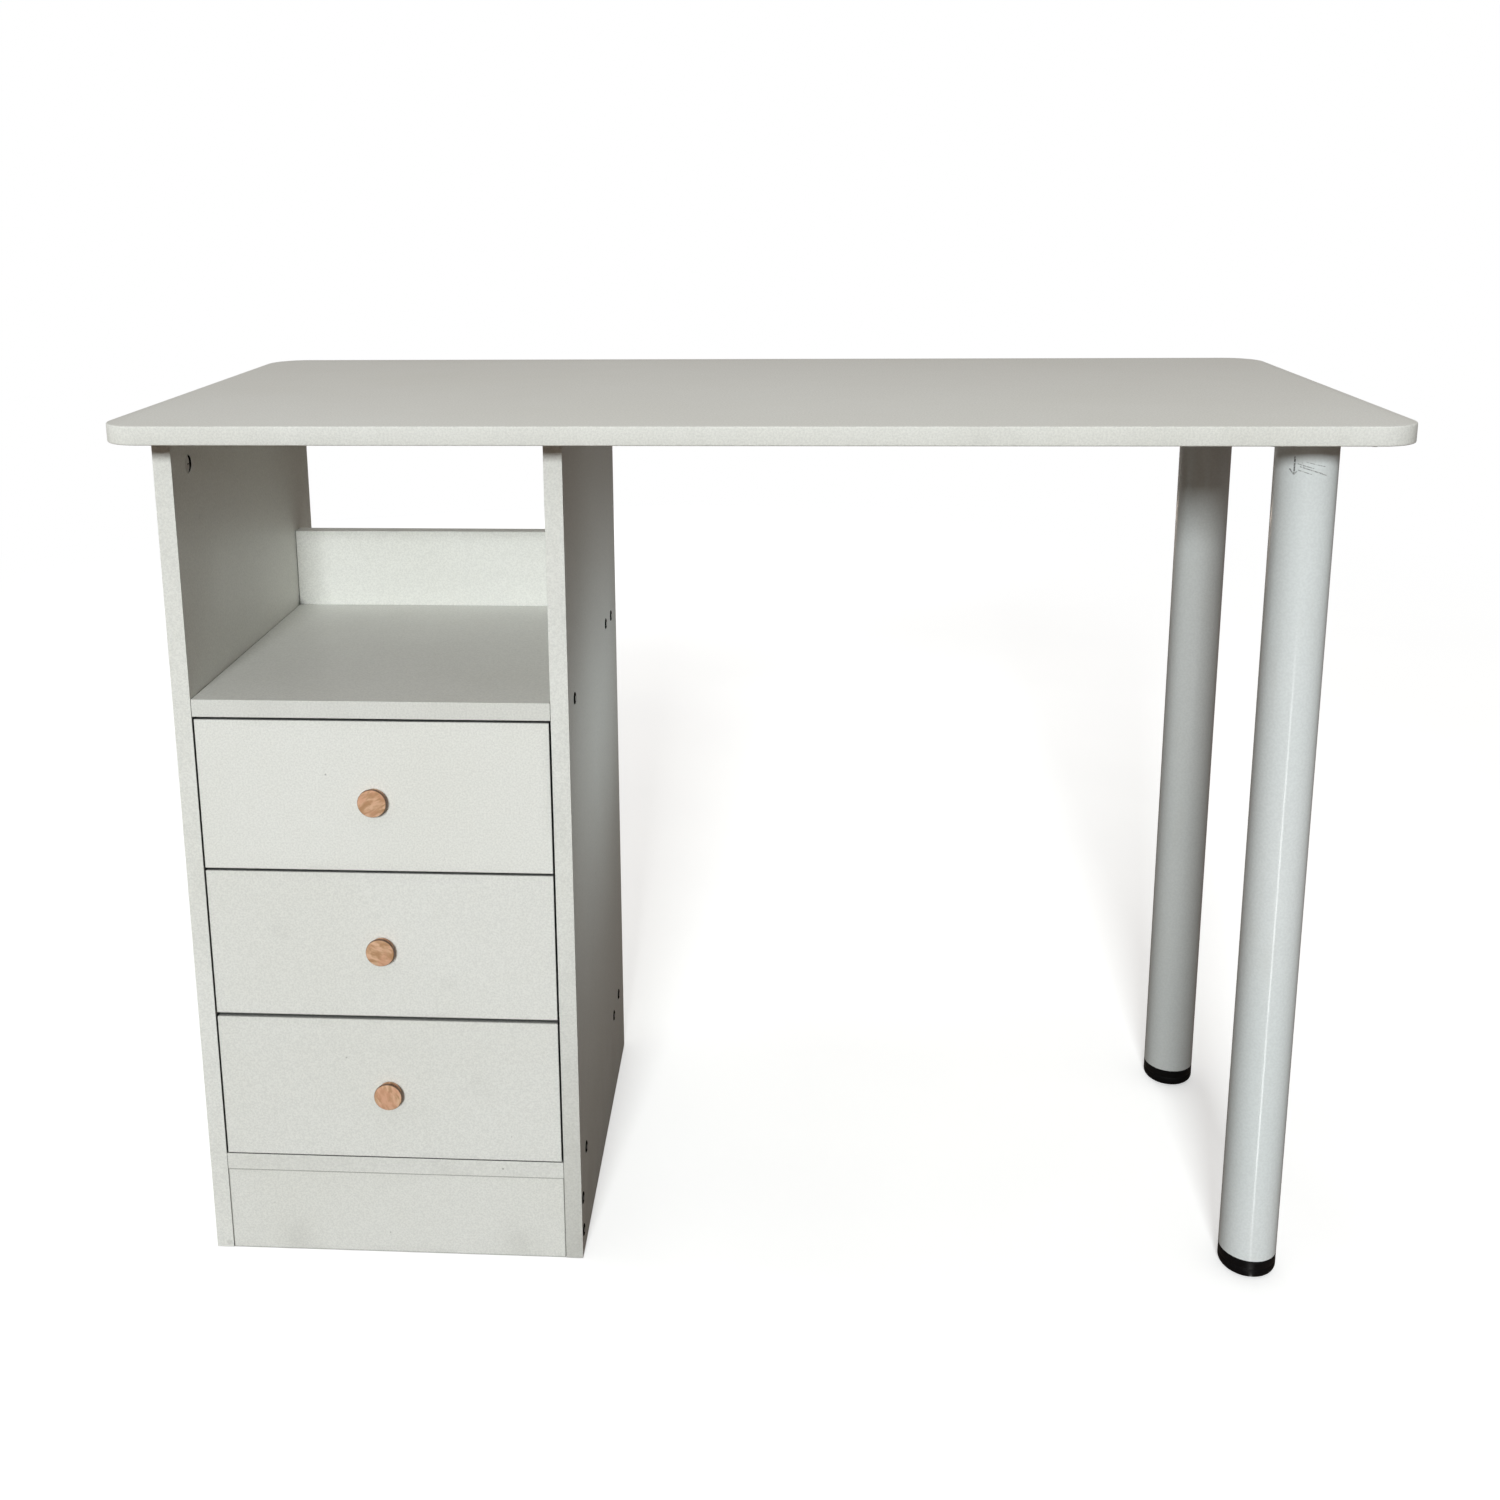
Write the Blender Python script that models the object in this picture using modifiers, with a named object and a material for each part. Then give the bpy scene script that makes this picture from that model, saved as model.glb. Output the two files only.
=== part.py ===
"""A white writing desk: a three-drawer pedestal under one end of the top, two steel legs under the other.

Metres, +Z up, +X to the right of someone sitting at the desk, -Y towards them.
The origin is on the floor, under the middle of the top.
"""

import math

import bmesh
import bpy

# ---- Driving dimensions ----
TOP_WIDTH = 1.000
TOP_DEPTH = 0.460
HEIGHT = 0.750
BOARD = 0.015
TOP_CORNER_RADIUS = 0.033
EASED_EDGE = 0.0012
GAP = 0.0003

PEDESTAL_WIDTH = 0.330
PEDESTAL_DEPTH = 0.360
PEDESTAL_FRONT = -0.180
PEDESTAL_LEFT = -0.475

KICK_HEIGHT = 0.0789
KICK_SETBACK = 0.0006
SHELF_TOP = 0.5145
BACK_INSET = 0.040
BACK_BOTTOM = 0.049
BACK_TOP = 0.5905

FRONT_HEIGHT = 0.132
FRONT_SIDE_REVEAL = 0.00175
FRONT_BOTTOMS = {"lower": 0.0950, "middle": 0.2307, "upper": 0.3652}

DRAWER_BOARD = 0.012
DRAWER_SIDE_HEIGHT = 0.095
DRAWER_SIDE_LIFT = 0.014
DRAWER_LENGTH = 0.275
DRAWER_BOTTOM_THICKNESS = 0.003
DRAWER_BOTTOM_LIFT = 0.010
GROOVE_DEPTH = 0.005

RUNNER_SPACE = 0.0125
RUNNER_LENGTH = 0.250
RUNNER_SHEET = 0.0012
RUNNER_SETBACK = 0.004
CABINET_RAIL_DEPTH = 0.0096
CABINET_RAIL_DROP = 0.0065
CABINET_RAIL_LIP = 0.003
CABINET_RUNNER_TOP = 0.0185
CABINET_HOOK_DEPTH = 0.0080
DRAWER_LEDGE_DEPTH = 0.009
DRAWER_RAIL_TOP = 0.0135
DRAWER_RAIL_DEPTH = 0.0089

LEG_RADIUS = 0.024
LEG_WALL = 0.0015
LEG_X = 0.436
LEG_FRONT_Y = -0.1555
LEG_REAR_Y = 0.1465
LEG_PLATE = 0.100
LEG_PLATE_THICKNESS = 0.003
LEG_PLATE_CORNER = 0.010
FOOT_HEIGHT = 0.0175
FOOT_EDGE_RADIUS = 0.006
FOOT_PLUG_LENGTH = 0.020
FOOT_PLUG_CHAMFER = 0.001

KNOB_RADIUS = 0.0122
KNOB_LENGTH = 0.0095
KNOB_HEAD_THICKNESS = 0.0032
KNOB_FOOT_RADIUS = 0.0102
KNOB_FOOT_THICKNESS = 0.0026
KNOB_NECK_RADIUS = 0.0062
KNOB_EDGE_RADIUS = 0.0009
KNOB_CROWN = 0.0003
KNOB_BELOW_MIDDLE = 0.0026
KNOB_BORE_RADIUS = 0.0023
KNOB_BORE_DEPTH = 0.0062
KNOB_SCREW_RADIUS = 0.0020
KNOB_SCREW_HEAD_RADIUS = 0.0045
KNOB_SCREW_HEAD_HEIGHT = 0.0028
KNOB_SCREW_EDGE_RADIUS = 0.0015
KNOB_SCREW_SLOT_RADIUS = 0.0016
KNOB_SCREW_SLOT_DEPTH = 0.0017

SCREW_HEAD_RADIUS = 0.0047
SCREW_HEAD_RECESS = 0.0003
SCREW_HEAD_DEPTH = 0.0032
SCREW_NECK_RADIUS = 0.0034
SCREW_NECK_LENGTH = 0.0130
SCREW_SHANK_RADIUS = 0.0026
SCREW_TAPER = 0.001
SCREW_SOCKET_RADIUS = 0.0021
SCREW_SOCKET_DEPTH = 0.0025
SCREW_LENGTH = 0.046
SCREW_FROM_EDGE = 0.037
KICK_SCREW_HEIGHTS = (0.023, 0.055)
BACK_SCREW_HEIGHTS = (0.0864, 0.503)

CAM_RADIUS = 0.0075
CAM_DEPTH = 0.0124
CAM_RECESS = 0.0004
CAM_SLOT_RADIUS = 0.0021
CAM_SLOT_DEPTH = 0.0016
CAM_BELOW_PANEL_TOP = 0.029

# ---- Places that follow from them ----
PANEL_TOP = HEIGHT - BOARD - GAP
TOP_UNDERSIDE = HEIGHT - BOARD
PEDESTAL_REAR = PEDESTAL_FRONT + PEDESTAL_DEPTH
PEDESTAL_RIGHT = PEDESTAL_LEFT + PEDESTAL_WIDTH
PEDESTAL_MIDDLE = (PEDESTAL_LEFT + PEDESTAL_RIGHT) / 2
INNER_LEFT = PEDESTAL_LEFT + BOARD
INNER_RIGHT = PEDESTAL_RIGHT - BOARD
BACK_REAR_Y = PEDESTAL_REAR - BACK_INSET
BACK_FRONT_Y = BACK_REAR_Y - BOARD
BOTTOM_PANEL_TOP = KICK_HEIGHT + BOARD
FRONT_BACK_Y = PEDESTAL_FRONT + BOARD
CUTTER_OVERSHOOT = 0.001

MATERIALS = {
    "white_melamine": ((0.80, 0.81, 0.78), 0.42, 0.0),
    "drawer_board": ((0.78, 0.79, 0.76), 0.55, 0.0),
    "hardboard": ((0.70, 0.69, 0.64), 0.60, 0.0),
    "white_powder_coat": ((0.78, 0.80, 0.79), 0.35, 0.0),
    "black_plastic": ((0.012, 0.012, 0.013), 0.50, 0.0),
    "knob_wood": ((0.56, 0.33, 0.18), 0.55, 0.0),
    "zinc": ((0.42, 0.42, 0.41), 0.38, 1.0),
}


def clear_scene():
    for obj in list(bpy.data.objects):
        bpy.data.objects.remove(obj, do_unlink=True)


def new_collection(name):
    collection = bpy.data.collections.new(name)
    bpy.context.scene.collection.children.link(collection)
    return collection


def material(name):
    """The Principled BSDF material of this name, made once."""
    found = bpy.data.materials.get(name)
    if found:
        return found
    colour, roughness, metallic = MATERIALS[name]
    made = bpy.data.materials.new(name)
    made.use_nodes = True
    shader = made.node_tree.nodes["Principled BSDF"]
    shader.inputs["Base Color"].default_value = (*colour, 1.0)
    shader.inputs["Roughness"].default_value = roughness
    shader.inputs["Metallic"].default_value = metallic
    return made


def add_object(name, mesh, finish, parent=None, location=(0.0, 0.0, 0.0)):
    """Links the mesh as an object. The location is in the world, also under a parent."""
    obj = bpy.data.objects.new(name, mesh)
    PARTS.objects.link(obj)
    obj.location = location
    if parent:
        obj.parent = parent
        obj.location = [place - origin for place, origin in zip(location, parent.location)]
    mesh.materials.append(material(finish))
    return obj


def block_mesh(name, size):
    bm = bmesh.new()
    bmesh.ops.create_cube(bm, size=1.0)
    bmesh.ops.scale(bm, vec=size, verts=bm.verts)
    mesh = bpy.data.meshes.new(name)
    bm.to_mesh(mesh)
    bm.free()
    return mesh


def block(name, low, high, finish, parent=None):
    """A board between two corners."""
    size = [b - a for a, b in zip(low, high)]
    centre = [(a + b) / 2 for a, b in zip(low, high)]
    return add_object(name, block_mesh(name, size), finish, parent, centre)


def plate(name, size, corner_radius, corner_segments, finish, location):
    """A board or sheet lying flat, with its upright corners rounded."""
    mesh = block_mesh(name, size)
    bm = bmesh.new()
    bm.from_mesh(mesh)
    upright = [e for e in bm.edges if abs(e.verts[0].co.z - e.verts[1].co.z) > size[2] / 2]
    bmesh.ops.bevel(
        bm, geom=upright, offset=corner_radius, segments=corner_segments, profile=0.5, affect="EDGES"
    )
    bm.to_mesh(mesh)
    bm.free()
    return add_object(name, mesh, finish, location=location)


def turned(name, profile, steps, finish, parent=None, location=(0.0, 0.0, 0.0), closed=False):
    """A turned solid: (radius, height) points down the outer side, spun about the object's Z axis."""
    bm = bmesh.new()
    verts = [bm.verts.new((radius, 0.0, height)) for radius, height in profile]
    pairs = list(zip(verts, verts[1:]))
    if closed:
        pairs.append((verts[-1], verts[0]))
    for pair in pairs:
        bm.edges.new(pair)
    mesh = bpy.data.meshes.new(name)
    bm.to_mesh(mesh)
    bm.free()
    obj = add_object(name, mesh, finish, parent, location)
    screw = obj.modifiers.new("Turned", "SCREW")
    screw.steps = steps
    screw.render_steps = steps
    screw.use_merge_vertices = True
    screw.merge_threshold = 0.00001
    screw.use_smooth_shade = True
    return obj


def arc(centre, radius, start, end, steps):
    """Points on an arc of a turned profile, in degrees from +radius towards +height."""
    angles = [math.radians(start + (end - start) * i / steps) for i in range(steps + 1)]
    return [(centre[0] + radius * math.cos(a), centre[1] + radius * math.sin(a)) for a in angles]


def make_cutter(obj):
    PARTS.objects.unlink(obj)
    CUTTERS.objects.link(obj)
    obj.hide_render = True
    obj.display_type = "WIRE"
    return obj


def block_cutter(name, low, high):
    return make_cutter(block(name, low, high, "zinc"))


def cut(obj, *cutters):
    """Takes the cutters out of an object."""
    for cutter in cutters:
        boolean = obj.modifiers.new(f"Cut {cutter.name}", "BOOLEAN")
        boolean.operation = "DIFFERENCE"
        boolean.object = cutter
        boolean.solver = "EXACT"


# ---- The top, the pedestal and the legs ----
def build_desktop():
    """The top's outline has round corners, and its edges are eased all round."""
    size = (TOP_WIDTH, TOP_DEPTH, BOARD)
    place = (0.0, 0.0, HEIGHT - BOARD / 2)
    desktop = plate("desktop", size, TOP_CORNER_RADIUS, 10, "white_melamine", place)
    bevel = desktop.modifiers.new("Eased edges", "BEVEL")
    bevel.width = EASED_EDGE
    bevel.segments = 2
    bevel.limit_method = "ANGLE"
    bevel.angle_limit = math.radians(40)


def screw_profile(grow):
    """A countersunk confirmat screw pointing down its axis, or its hole when grown by the clearance."""
    head = SCREW_HEAD_RADIUS + grow
    neck = SCREW_NECK_RADIUS + grow
    shank = SCREW_SHANK_RADIUS + grow
    tip = -SCREW_LENGTH - grow
    outer = [
        (head, -SCREW_HEAD_RECESS),
        (neck, -SCREW_HEAD_DEPTH),
        (neck, -SCREW_NECK_LENGTH),
        (shank, -SCREW_NECK_LENGTH - SCREW_TAPER),
    ]
    if grow:
        return [(0.0, CUTTER_OVERSHOOT), (head, CUTTER_OVERSHOOT)] + outer + [(shank, tip), (0.0, tip)]
    socket = [
        (0.0, -SCREW_SOCKET_DEPTH),
        (SCREW_SOCKET_RADIUS, -SCREW_SOCKET_DEPTH),
        (SCREW_SOCKET_RADIUS, -SCREW_HEAD_RECESS),
    ]
    point = [(shank, tip + SCREW_TAPER), (shank - SCREW_TAPER, tip), (0.0, tip)]
    return socket + outer + point


def point_along_x(obj, sign):
    """Turns a turned piece so that its +Z end faces +X or -X."""
    obj.rotation_euler = (0.0, sign * math.pi / 2, 0.0)


def build_side_screws():
    """The screws through the right panel into the ends of the boards. Returns their holes."""
    shelf_z = SHELF_TOP - BOARD / 2
    bottom_z = BOTTOM_PANEL_TOP - BOARD / 2
    front_y = PEDESTAL_FRONT + SCREW_FROM_EDGE
    rear_y = BACK_FRONT_Y - SCREW_FROM_EDGE
    kick_y = PEDESTAL_FRONT + KICK_SETBACK + BOARD / 2
    back_y = BACK_REAR_Y - BOARD / 2
    places = {
        "shelf_screw_front": (front_y, shelf_z),
        "shelf_screw_rear": (rear_y, shelf_z),
        "bottom_screw_front": (front_y, bottom_z),
        "bottom_screw_rear": (rear_y, bottom_z),
        "kick_screw_lower": (kick_y, KICK_SCREW_HEIGHTS[0]),
        "kick_screw_upper": (kick_y, KICK_SCREW_HEIGHTS[1]),
        "back_screw_lower": (back_y, BACK_SCREW_HEIGHTS[0]),
        "back_screw_upper": (back_y, BACK_SCREW_HEIGHTS[1]),
    }
    holes = {}
    for name, (y, z) in places.items():
        spot = (PEDESTAL_RIGHT, y, z)
        screw = turned(name, screw_profile(0.0), 12, "zinc", location=spot)
        point_along_x(screw, 1)
        hole = turned(name + "_hole", screw_profile(GAP), 12, "zinc", location=spot)
        point_along_x(hole, 1)
        holes[name] = make_cutter(hole)
    return holes


def build_cam_lock(name, face_x, inward, y):
    """A cam lock let into a side panel's inner face. Returns the pocket that holds it."""
    spot = (face_x, y, PANEL_TOP - CAM_BELOW_PANEL_TOP)
    slot_bottom = -CAM_RECESS - CAM_SLOT_DEPTH
    slot = [(0.0, slot_bottom), (CAM_SLOT_RADIUS, slot_bottom), (CAM_SLOT_RADIUS, -CAM_RECESS)]
    body = [(CAM_RADIUS, -CAM_RECESS), (CAM_RADIUS, -CAM_DEPTH), (0.0, -CAM_DEPTH)]
    cam = turned(name, slot + body, 20, "zinc", location=spot)
    point_along_x(cam, inward)
    radius = CAM_RADIUS + GAP
    depth = CAM_DEPTH + GAP
    open_end = [(0.0, CUTTER_OVERSHOOT), (radius, CUTTER_OVERSHOOT)]
    pocket = turned(name + "_pocket", open_end + [(radius, -depth), (0.0, -depth)], 20, "zinc", location=spot)
    point_along_x(pocket, inward)
    return make_cutter(pocket)


def build_pedestal():
    left = block(
        "left_side_panel",
        (PEDESTAL_LEFT, PEDESTAL_FRONT, 0.0),
        (INNER_LEFT, PEDESTAL_REAR, PANEL_TOP),
        "white_melamine",
    )
    right = block(
        "right_side_panel",
        (INNER_RIGHT, PEDESTAL_FRONT, 0.0),
        (PEDESTAL_RIGHT, PEDESTAL_REAR, PANEL_TOP),
        "white_melamine",
    )
    low_x = INNER_LEFT + GAP
    high_x = INNER_RIGHT - GAP
    board_rear = BACK_FRONT_Y - GAP
    shelf = block(
        "shelf",
        (low_x, PEDESTAL_FRONT, SHELF_TOP - BOARD),
        (high_x, board_rear, SHELF_TOP),
        "white_melamine",
    )
    bottom = block(
        "bottom_panel",
        (low_x, PEDESTAL_FRONT, KICK_HEIGHT),
        (high_x, board_rear, BOTTOM_PANEL_TOP),
        "white_melamine",
    )
    kick_front = PEDESTAL_FRONT + KICK_SETBACK
    kick = block(
        "kick_board",
        (low_x, kick_front, 0.0),
        (high_x, kick_front + BOARD, KICK_HEIGHT - GAP),
        "white_melamine",
    )
    back = block(
        "back_panel",
        (low_x, BACK_FRONT_Y, BACK_BOTTOM),
        (high_x, BACK_REAR_Y, BACK_TOP),
        "white_melamine",
    )

    holes = build_side_screws()
    cut(right, *holes.values())
    cut(shelf, holes["shelf_screw_front"], holes["shelf_screw_rear"])
    cut(bottom, holes["bottom_screw_front"], holes["bottom_screw_rear"])
    cut(kick, holes["kick_screw_lower"], holes["kick_screw_upper"])
    cut(back, holes["back_screw_lower"], holes["back_screw_upper"])

    front_y = PEDESTAL_FRONT + SCREW_FROM_EDGE
    rear_y = PEDESTAL_REAR - SCREW_FROM_EDGE
    for panel, side, face_x, inward in ((left, "left", INNER_LEFT, 1), (right, "right", INNER_RIGHT, -1)):
        for end, y in (("front", front_y), ("rear", rear_y)):
            cut(panel, build_cam_lock(f"{side}_{end}_cam_lock", face_x, inward, y))


def build_leg(name, y):
    """One leg: a steel plate under the top, a tube and a black foot plugged into it."""
    plate_top = TOP_UNDERSIDE - GAP
    plate_bottom = plate_top - LEG_PLATE_THICKNESS
    size = (LEG_PLATE, LEG_PLATE, LEG_PLATE_THICKNESS)
    place = (LEG_X, y, (plate_top + plate_bottom) / 2)
    plate(f"{name}_leg_plate", size, LEG_PLATE_CORNER, 4, "white_powder_coat", place)

    tube_top = plate_bottom - GAP
    inner = LEG_RADIUS - LEG_WALL
    tube = [(LEG_RADIUS, tube_top), (LEG_RADIUS, FOOT_HEIGHT), (inner, FOOT_HEIGHT), (inner, tube_top)]
    turned(f"{name}_leg_tube", tube, 48, "white_powder_coat", location=(LEG_X, y, 0.0), closed=True)

    plug = inner - GAP
    plug_top = FOOT_HEIGHT + FOOT_PLUG_LENGTH
    shoulder = FOOT_HEIGHT - GAP
    foot = [(0.0, plug_top), (plug - FOOT_PLUG_CHAMFER, plug_top), (plug, plug_top - FOOT_PLUG_CHAMFER)]
    edge_centre = (LEG_RADIUS - FOOT_EDGE_RADIUS, FOOT_EDGE_RADIUS)
    foot += [(plug, shoulder), (LEG_RADIUS, shoulder)]
    foot += arc(edge_centre, FOOT_EDGE_RADIUS, 0, -90, 4) + [(0.0, 0.0)]
    turned(f"{name}_foot", foot, 48, "black_plastic", location=(LEG_X, y, 0.0))


# ---- Drawers ----
def runner(name, section, side, x, y, z, parent=None):
    """A rolled steel section along Y. Its points are (distance from the panel, height) in metres."""
    bm = bmesh.new()
    verts = [bm.verts.new((side * across, 0.0, up)) for across, up in section]
    edges = [bm.edges.new(pair) for pair in zip(verts, verts[1:])]
    swept = bmesh.ops.extrude_edge_only(bm, edges=edges)
    moved = [v for v in swept["geom"] if isinstance(v, bmesh.types.BMVert)]
    bmesh.ops.translate(bm, vec=(0.0, RUNNER_LENGTH, 0.0), verts=moved)
    bmesh.ops.recalc_face_normals(bm, faces=bm.faces)
    mesh = bpy.data.meshes.new(name)
    bm.to_mesh(mesh)
    bm.free()
    obj = add_object(name, mesh, "white_powder_coat", parent, (x, y, z))
    sheet = obj.modifiers.new("Sheet", "SOLIDIFY")
    sheet.thickness = RUNNER_SHEET
    sheet.offset = 0.0
    sheet.use_even_offset = True
    return obj


def build_runners(name, slider, side_bottom):
    """A cabinet member on each side panel, and a drawer member under each drawer side."""
    web = GAP + RUNNER_SHEET / 2
    cabinet_section = [
        (CABINET_RAIL_DEPTH, CABINET_RAIL_LIP - CABINET_RAIL_DROP),
        (CABINET_RAIL_DEPTH, -CABINET_RAIL_DROP),
        (web, -CABINET_RAIL_DROP),
        (web, CABINET_RUNNER_TOP),
        (CABINET_HOOK_DEPTH, CABINET_RUNNER_TOP),
    ]
    drawer_section = [
        (RUNNER_SPACE + DRAWER_LEDGE_DEPTH, -web),
        (RUNNER_SPACE - web, -web),
        (RUNNER_SPACE - web, DRAWER_RAIL_TOP),
        (RUNNER_SPACE - DRAWER_RAIL_DEPTH, DRAWER_RAIL_TOP),
    ]
    cabinet_y = FRONT_BACK_Y + RUNNER_SETBACK
    drawer_y = FRONT_BACK_Y + RUNNER_SETBACK / 2
    for hand, side, face_x in (("left", 1, INNER_LEFT), ("right", -1, INNER_RIGHT)):
        runner(f"{name}_{hand}_cabinet_runner", cabinet_section, side, face_x, cabinet_y, side_bottom)
        runner(f"{name}_{hand}_drawer_runner", drawer_section, side, face_x, drawer_y, side_bottom, slider)


def build_knob(name, slider, z):
    """A turned wooden knob on the drawer front, and the screw that holds it. Returns the screw's hole."""
    edge = KNOB_EDGE_RADIUS
    rim = KNOB_LENGTH - KNOB_CROWN
    head_back = KNOB_LENGTH - KNOB_HEAD_THICKNESS
    foot_top = KNOB_FOOT_THICKNESS
    outline = [(0.0, KNOB_LENGTH)]
    outline += arc((KNOB_RADIUS - edge, rim - edge), edge, 90, 0, 3)
    outline += arc((KNOB_RADIUS - edge, head_back + edge), edge, 0, -90, 2)
    neck_sweep = (head_back - foot_top) / 2
    neck_centre = (KNOB_NECK_RADIUS + neck_sweep, foot_top + neck_sweep)
    outline += arc(neck_centre, neck_sweep, 90, 270, 6)
    outline += arc((KNOB_FOOT_RADIUS - edge, foot_top - edge), edge, 90, 0, 3)
    outline += [(KNOB_FOOT_RADIUS, GAP), (KNOB_BORE_RADIUS, GAP)]
    outline += [(KNOB_BORE_RADIUS, KNOB_BORE_DEPTH), (0.0, KNOB_BORE_DEPTH)]
    spot = (PEDESTAL_MIDDLE, PEDESTAL_FRONT, z)
    knob = turned(f"{name}_knob", outline, 32, "knob_wood", slider, spot)
    knob.rotation_euler = (math.pi / 2, 0.0, 0.0)

    head = KNOB_SCREW_HEAD_RADIUS
    shank = KNOB_SCREW_RADIUS
    round_centre = (head - KNOB_SCREW_EDGE_RADIUS, KNOB_SCREW_EDGE_RADIUS - KNOB_SCREW_HEAD_HEIGHT)
    tip = BOARD + KNOB_BORE_DEPTH - GAP
    screw_outline = [(0.0, tip), (shank, tip), (shank, -GAP), (head, -GAP)]
    screw_outline += arc(round_centre, KNOB_SCREW_EDGE_RADIUS, 0, -90, 3)
    screw_outline += [(KNOB_SCREW_SLOT_RADIUS, -KNOB_SCREW_HEAD_HEIGHT)]
    slot_bottom = KNOB_SCREW_SLOT_DEPTH - KNOB_SCREW_HEAD_HEIGHT
    screw_outline += [(KNOB_SCREW_SLOT_RADIUS, slot_bottom), (0.0, slot_bottom)]
    screw_spot = (PEDESTAL_MIDDLE, FRONT_BACK_Y, z)
    screw = turned(f"{name}_knob_screw", screw_outline, 16, "zinc", slider, screw_spot)
    screw.rotation_euler = (math.pi / 2, 0.0, 0.0)

    hole_radius = shank + GAP
    hole_end = -BOARD - CUTTER_OVERSHOOT
    hole_outline = [(0.0, CUTTER_OVERSHOOT), (hole_radius, CUTTER_OVERSHOOT)]
    hole_outline += [(hole_radius, hole_end), (0.0, hole_end)]
    hole = turned(f"{name}_knob_hole", hole_outline, 16, "zinc", location=spot)
    hole.rotation_euler = (math.pi / 2, 0.0, 0.0)
    return make_cutter(hole)


def build_drawer(name, front_bottom):
    """One drawer: a front, two sides, a back, a thin bottom in grooves, its runners and its knob."""
    slider = bpy.data.objects.new(f"{name}_slide", None)
    PARTS.objects.link(slider)
    slider.location = (PEDESTAL_MIDDLE, PEDESTAL_FRONT, front_bottom)

    front_top = front_bottom + FRONT_HEIGHT
    side_bottom = front_bottom + DRAWER_SIDE_LIFT
    side_top = side_bottom + DRAWER_SIDE_HEIGHT
    side_front = FRONT_BACK_Y + GAP
    side_rear = FRONT_BACK_Y + DRAWER_LENGTH
    outer_left = INNER_LEFT + RUNNER_SPACE
    outer_right = INNER_RIGHT - RUNNER_SPACE
    inner_left = outer_left + DRAWER_BOARD
    inner_right = outer_right - DRAWER_BOARD

    front = block(
        f"{name}_front",
        (INNER_LEFT + FRONT_SIDE_REVEAL, PEDESTAL_FRONT, front_bottom),
        (INNER_RIGHT - FRONT_SIDE_REVEAL, FRONT_BACK_Y, front_top),
        "white_melamine",
        slider,
    )
    left = block(
        f"{name}_left_side",
        (outer_left, side_front, side_bottom),
        (inner_left, side_rear, side_top),
        "drawer_board",
        slider,
    )
    right = block(
        f"{name}_right_side",
        (inner_right, side_front, side_bottom),
        (outer_right, side_rear, side_top),
        "drawer_board",
        slider,
    )

    bottom_low = side_bottom + DRAWER_BOTTOM_LIFT
    bottom_high = bottom_low + DRAWER_BOTTOM_THICKNESS
    reach = GROOVE_DEPTH - GAP
    block(
        f"{name}_bottom",
        (inner_left - reach, FRONT_BACK_Y - reach, bottom_low),
        (inner_right + reach, side_rear, bottom_high),
        "hardboard",
        slider,
    )
    block(
        f"{name}_back",
        (inner_left + GAP, side_rear - DRAWER_BOARD, bottom_high + GAP),
        (inner_right - GAP, side_rear, side_top),
        "drawer_board",
        slider,
    )
    groove = block_cutter(
        f"{name}_groove",
        (inner_left - GROOVE_DEPTH, FRONT_BACK_Y - GROOVE_DEPTH, bottom_low - GAP),
        (inner_right + GROOVE_DEPTH, side_rear + BOARD, bottom_high + GAP),
    )
    cut(left, groove)
    cut(right, groove)
    knob_z = (front_bottom + front_top) / 2 - KNOB_BELOW_MIDDLE
    cut(front, groove, build_knob(name, slider, knob_z))
    build_runners(name, slider, side_bottom)


clear_scene()
PARTS = new_collection("WritingDesk")
CUTTERS = new_collection("Cutters")

build_desktop()
build_pedestal()
build_leg("front", LEG_FRONT_Y)
build_leg("rear", LEG_REAR_Y)
for drawer, bottom_z in FRONT_BOTTOMS.items():
    build_drawer(f"{drawer}_drawer", bottom_z)

for part in PARTS.objects:
    if part.type == "MESH" and part.modifiers and part.modifiers[0].type == "SCREW":
        part.data.shade_smooth()
bpy.context.view_layer.update()
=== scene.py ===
"""The looks of a white writing desk, built round its CAD model.

Three drawers slide under one end of the top, and two steel legs stand under the other. Metres, in the
CAD model's frame: +X right, -Y towards the sitter, +Z up.
"""

import math

import bmesh
import bpy
from mathutils import Matrix, Vector


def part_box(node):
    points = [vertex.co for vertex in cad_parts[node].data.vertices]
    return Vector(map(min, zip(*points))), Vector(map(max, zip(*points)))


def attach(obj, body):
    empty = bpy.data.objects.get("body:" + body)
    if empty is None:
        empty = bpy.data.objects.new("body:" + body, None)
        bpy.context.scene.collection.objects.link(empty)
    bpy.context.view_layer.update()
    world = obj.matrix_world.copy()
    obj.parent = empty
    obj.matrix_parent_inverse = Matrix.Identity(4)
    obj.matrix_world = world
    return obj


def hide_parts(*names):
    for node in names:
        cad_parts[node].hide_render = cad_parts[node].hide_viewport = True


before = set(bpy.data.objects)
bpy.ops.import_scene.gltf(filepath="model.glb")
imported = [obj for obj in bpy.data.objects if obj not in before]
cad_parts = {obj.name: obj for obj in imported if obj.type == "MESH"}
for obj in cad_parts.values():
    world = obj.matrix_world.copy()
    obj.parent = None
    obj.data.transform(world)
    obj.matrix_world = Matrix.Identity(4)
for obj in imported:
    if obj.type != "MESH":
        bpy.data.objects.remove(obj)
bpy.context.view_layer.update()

# ---- Sizes of what the CAD model leaves out ----
BAND_THICKNESS = 0.0005
BOARD_CORNER_RADIUS = 0.0001
BOARD_EDGE_ROUNDING = 0.00035
PLATE_EDGE_ROUNDING = 0.0004
SAME_POINT = 0.000002
BEVEL_ANGLE = 50

TOP_CORNER_RADIUS = 0.033
TOP_CORNER_STEPS = 20
TOP_EDGE_ROUNDING = 0.0012
TOP_EDGE_STEPS = 4

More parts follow.
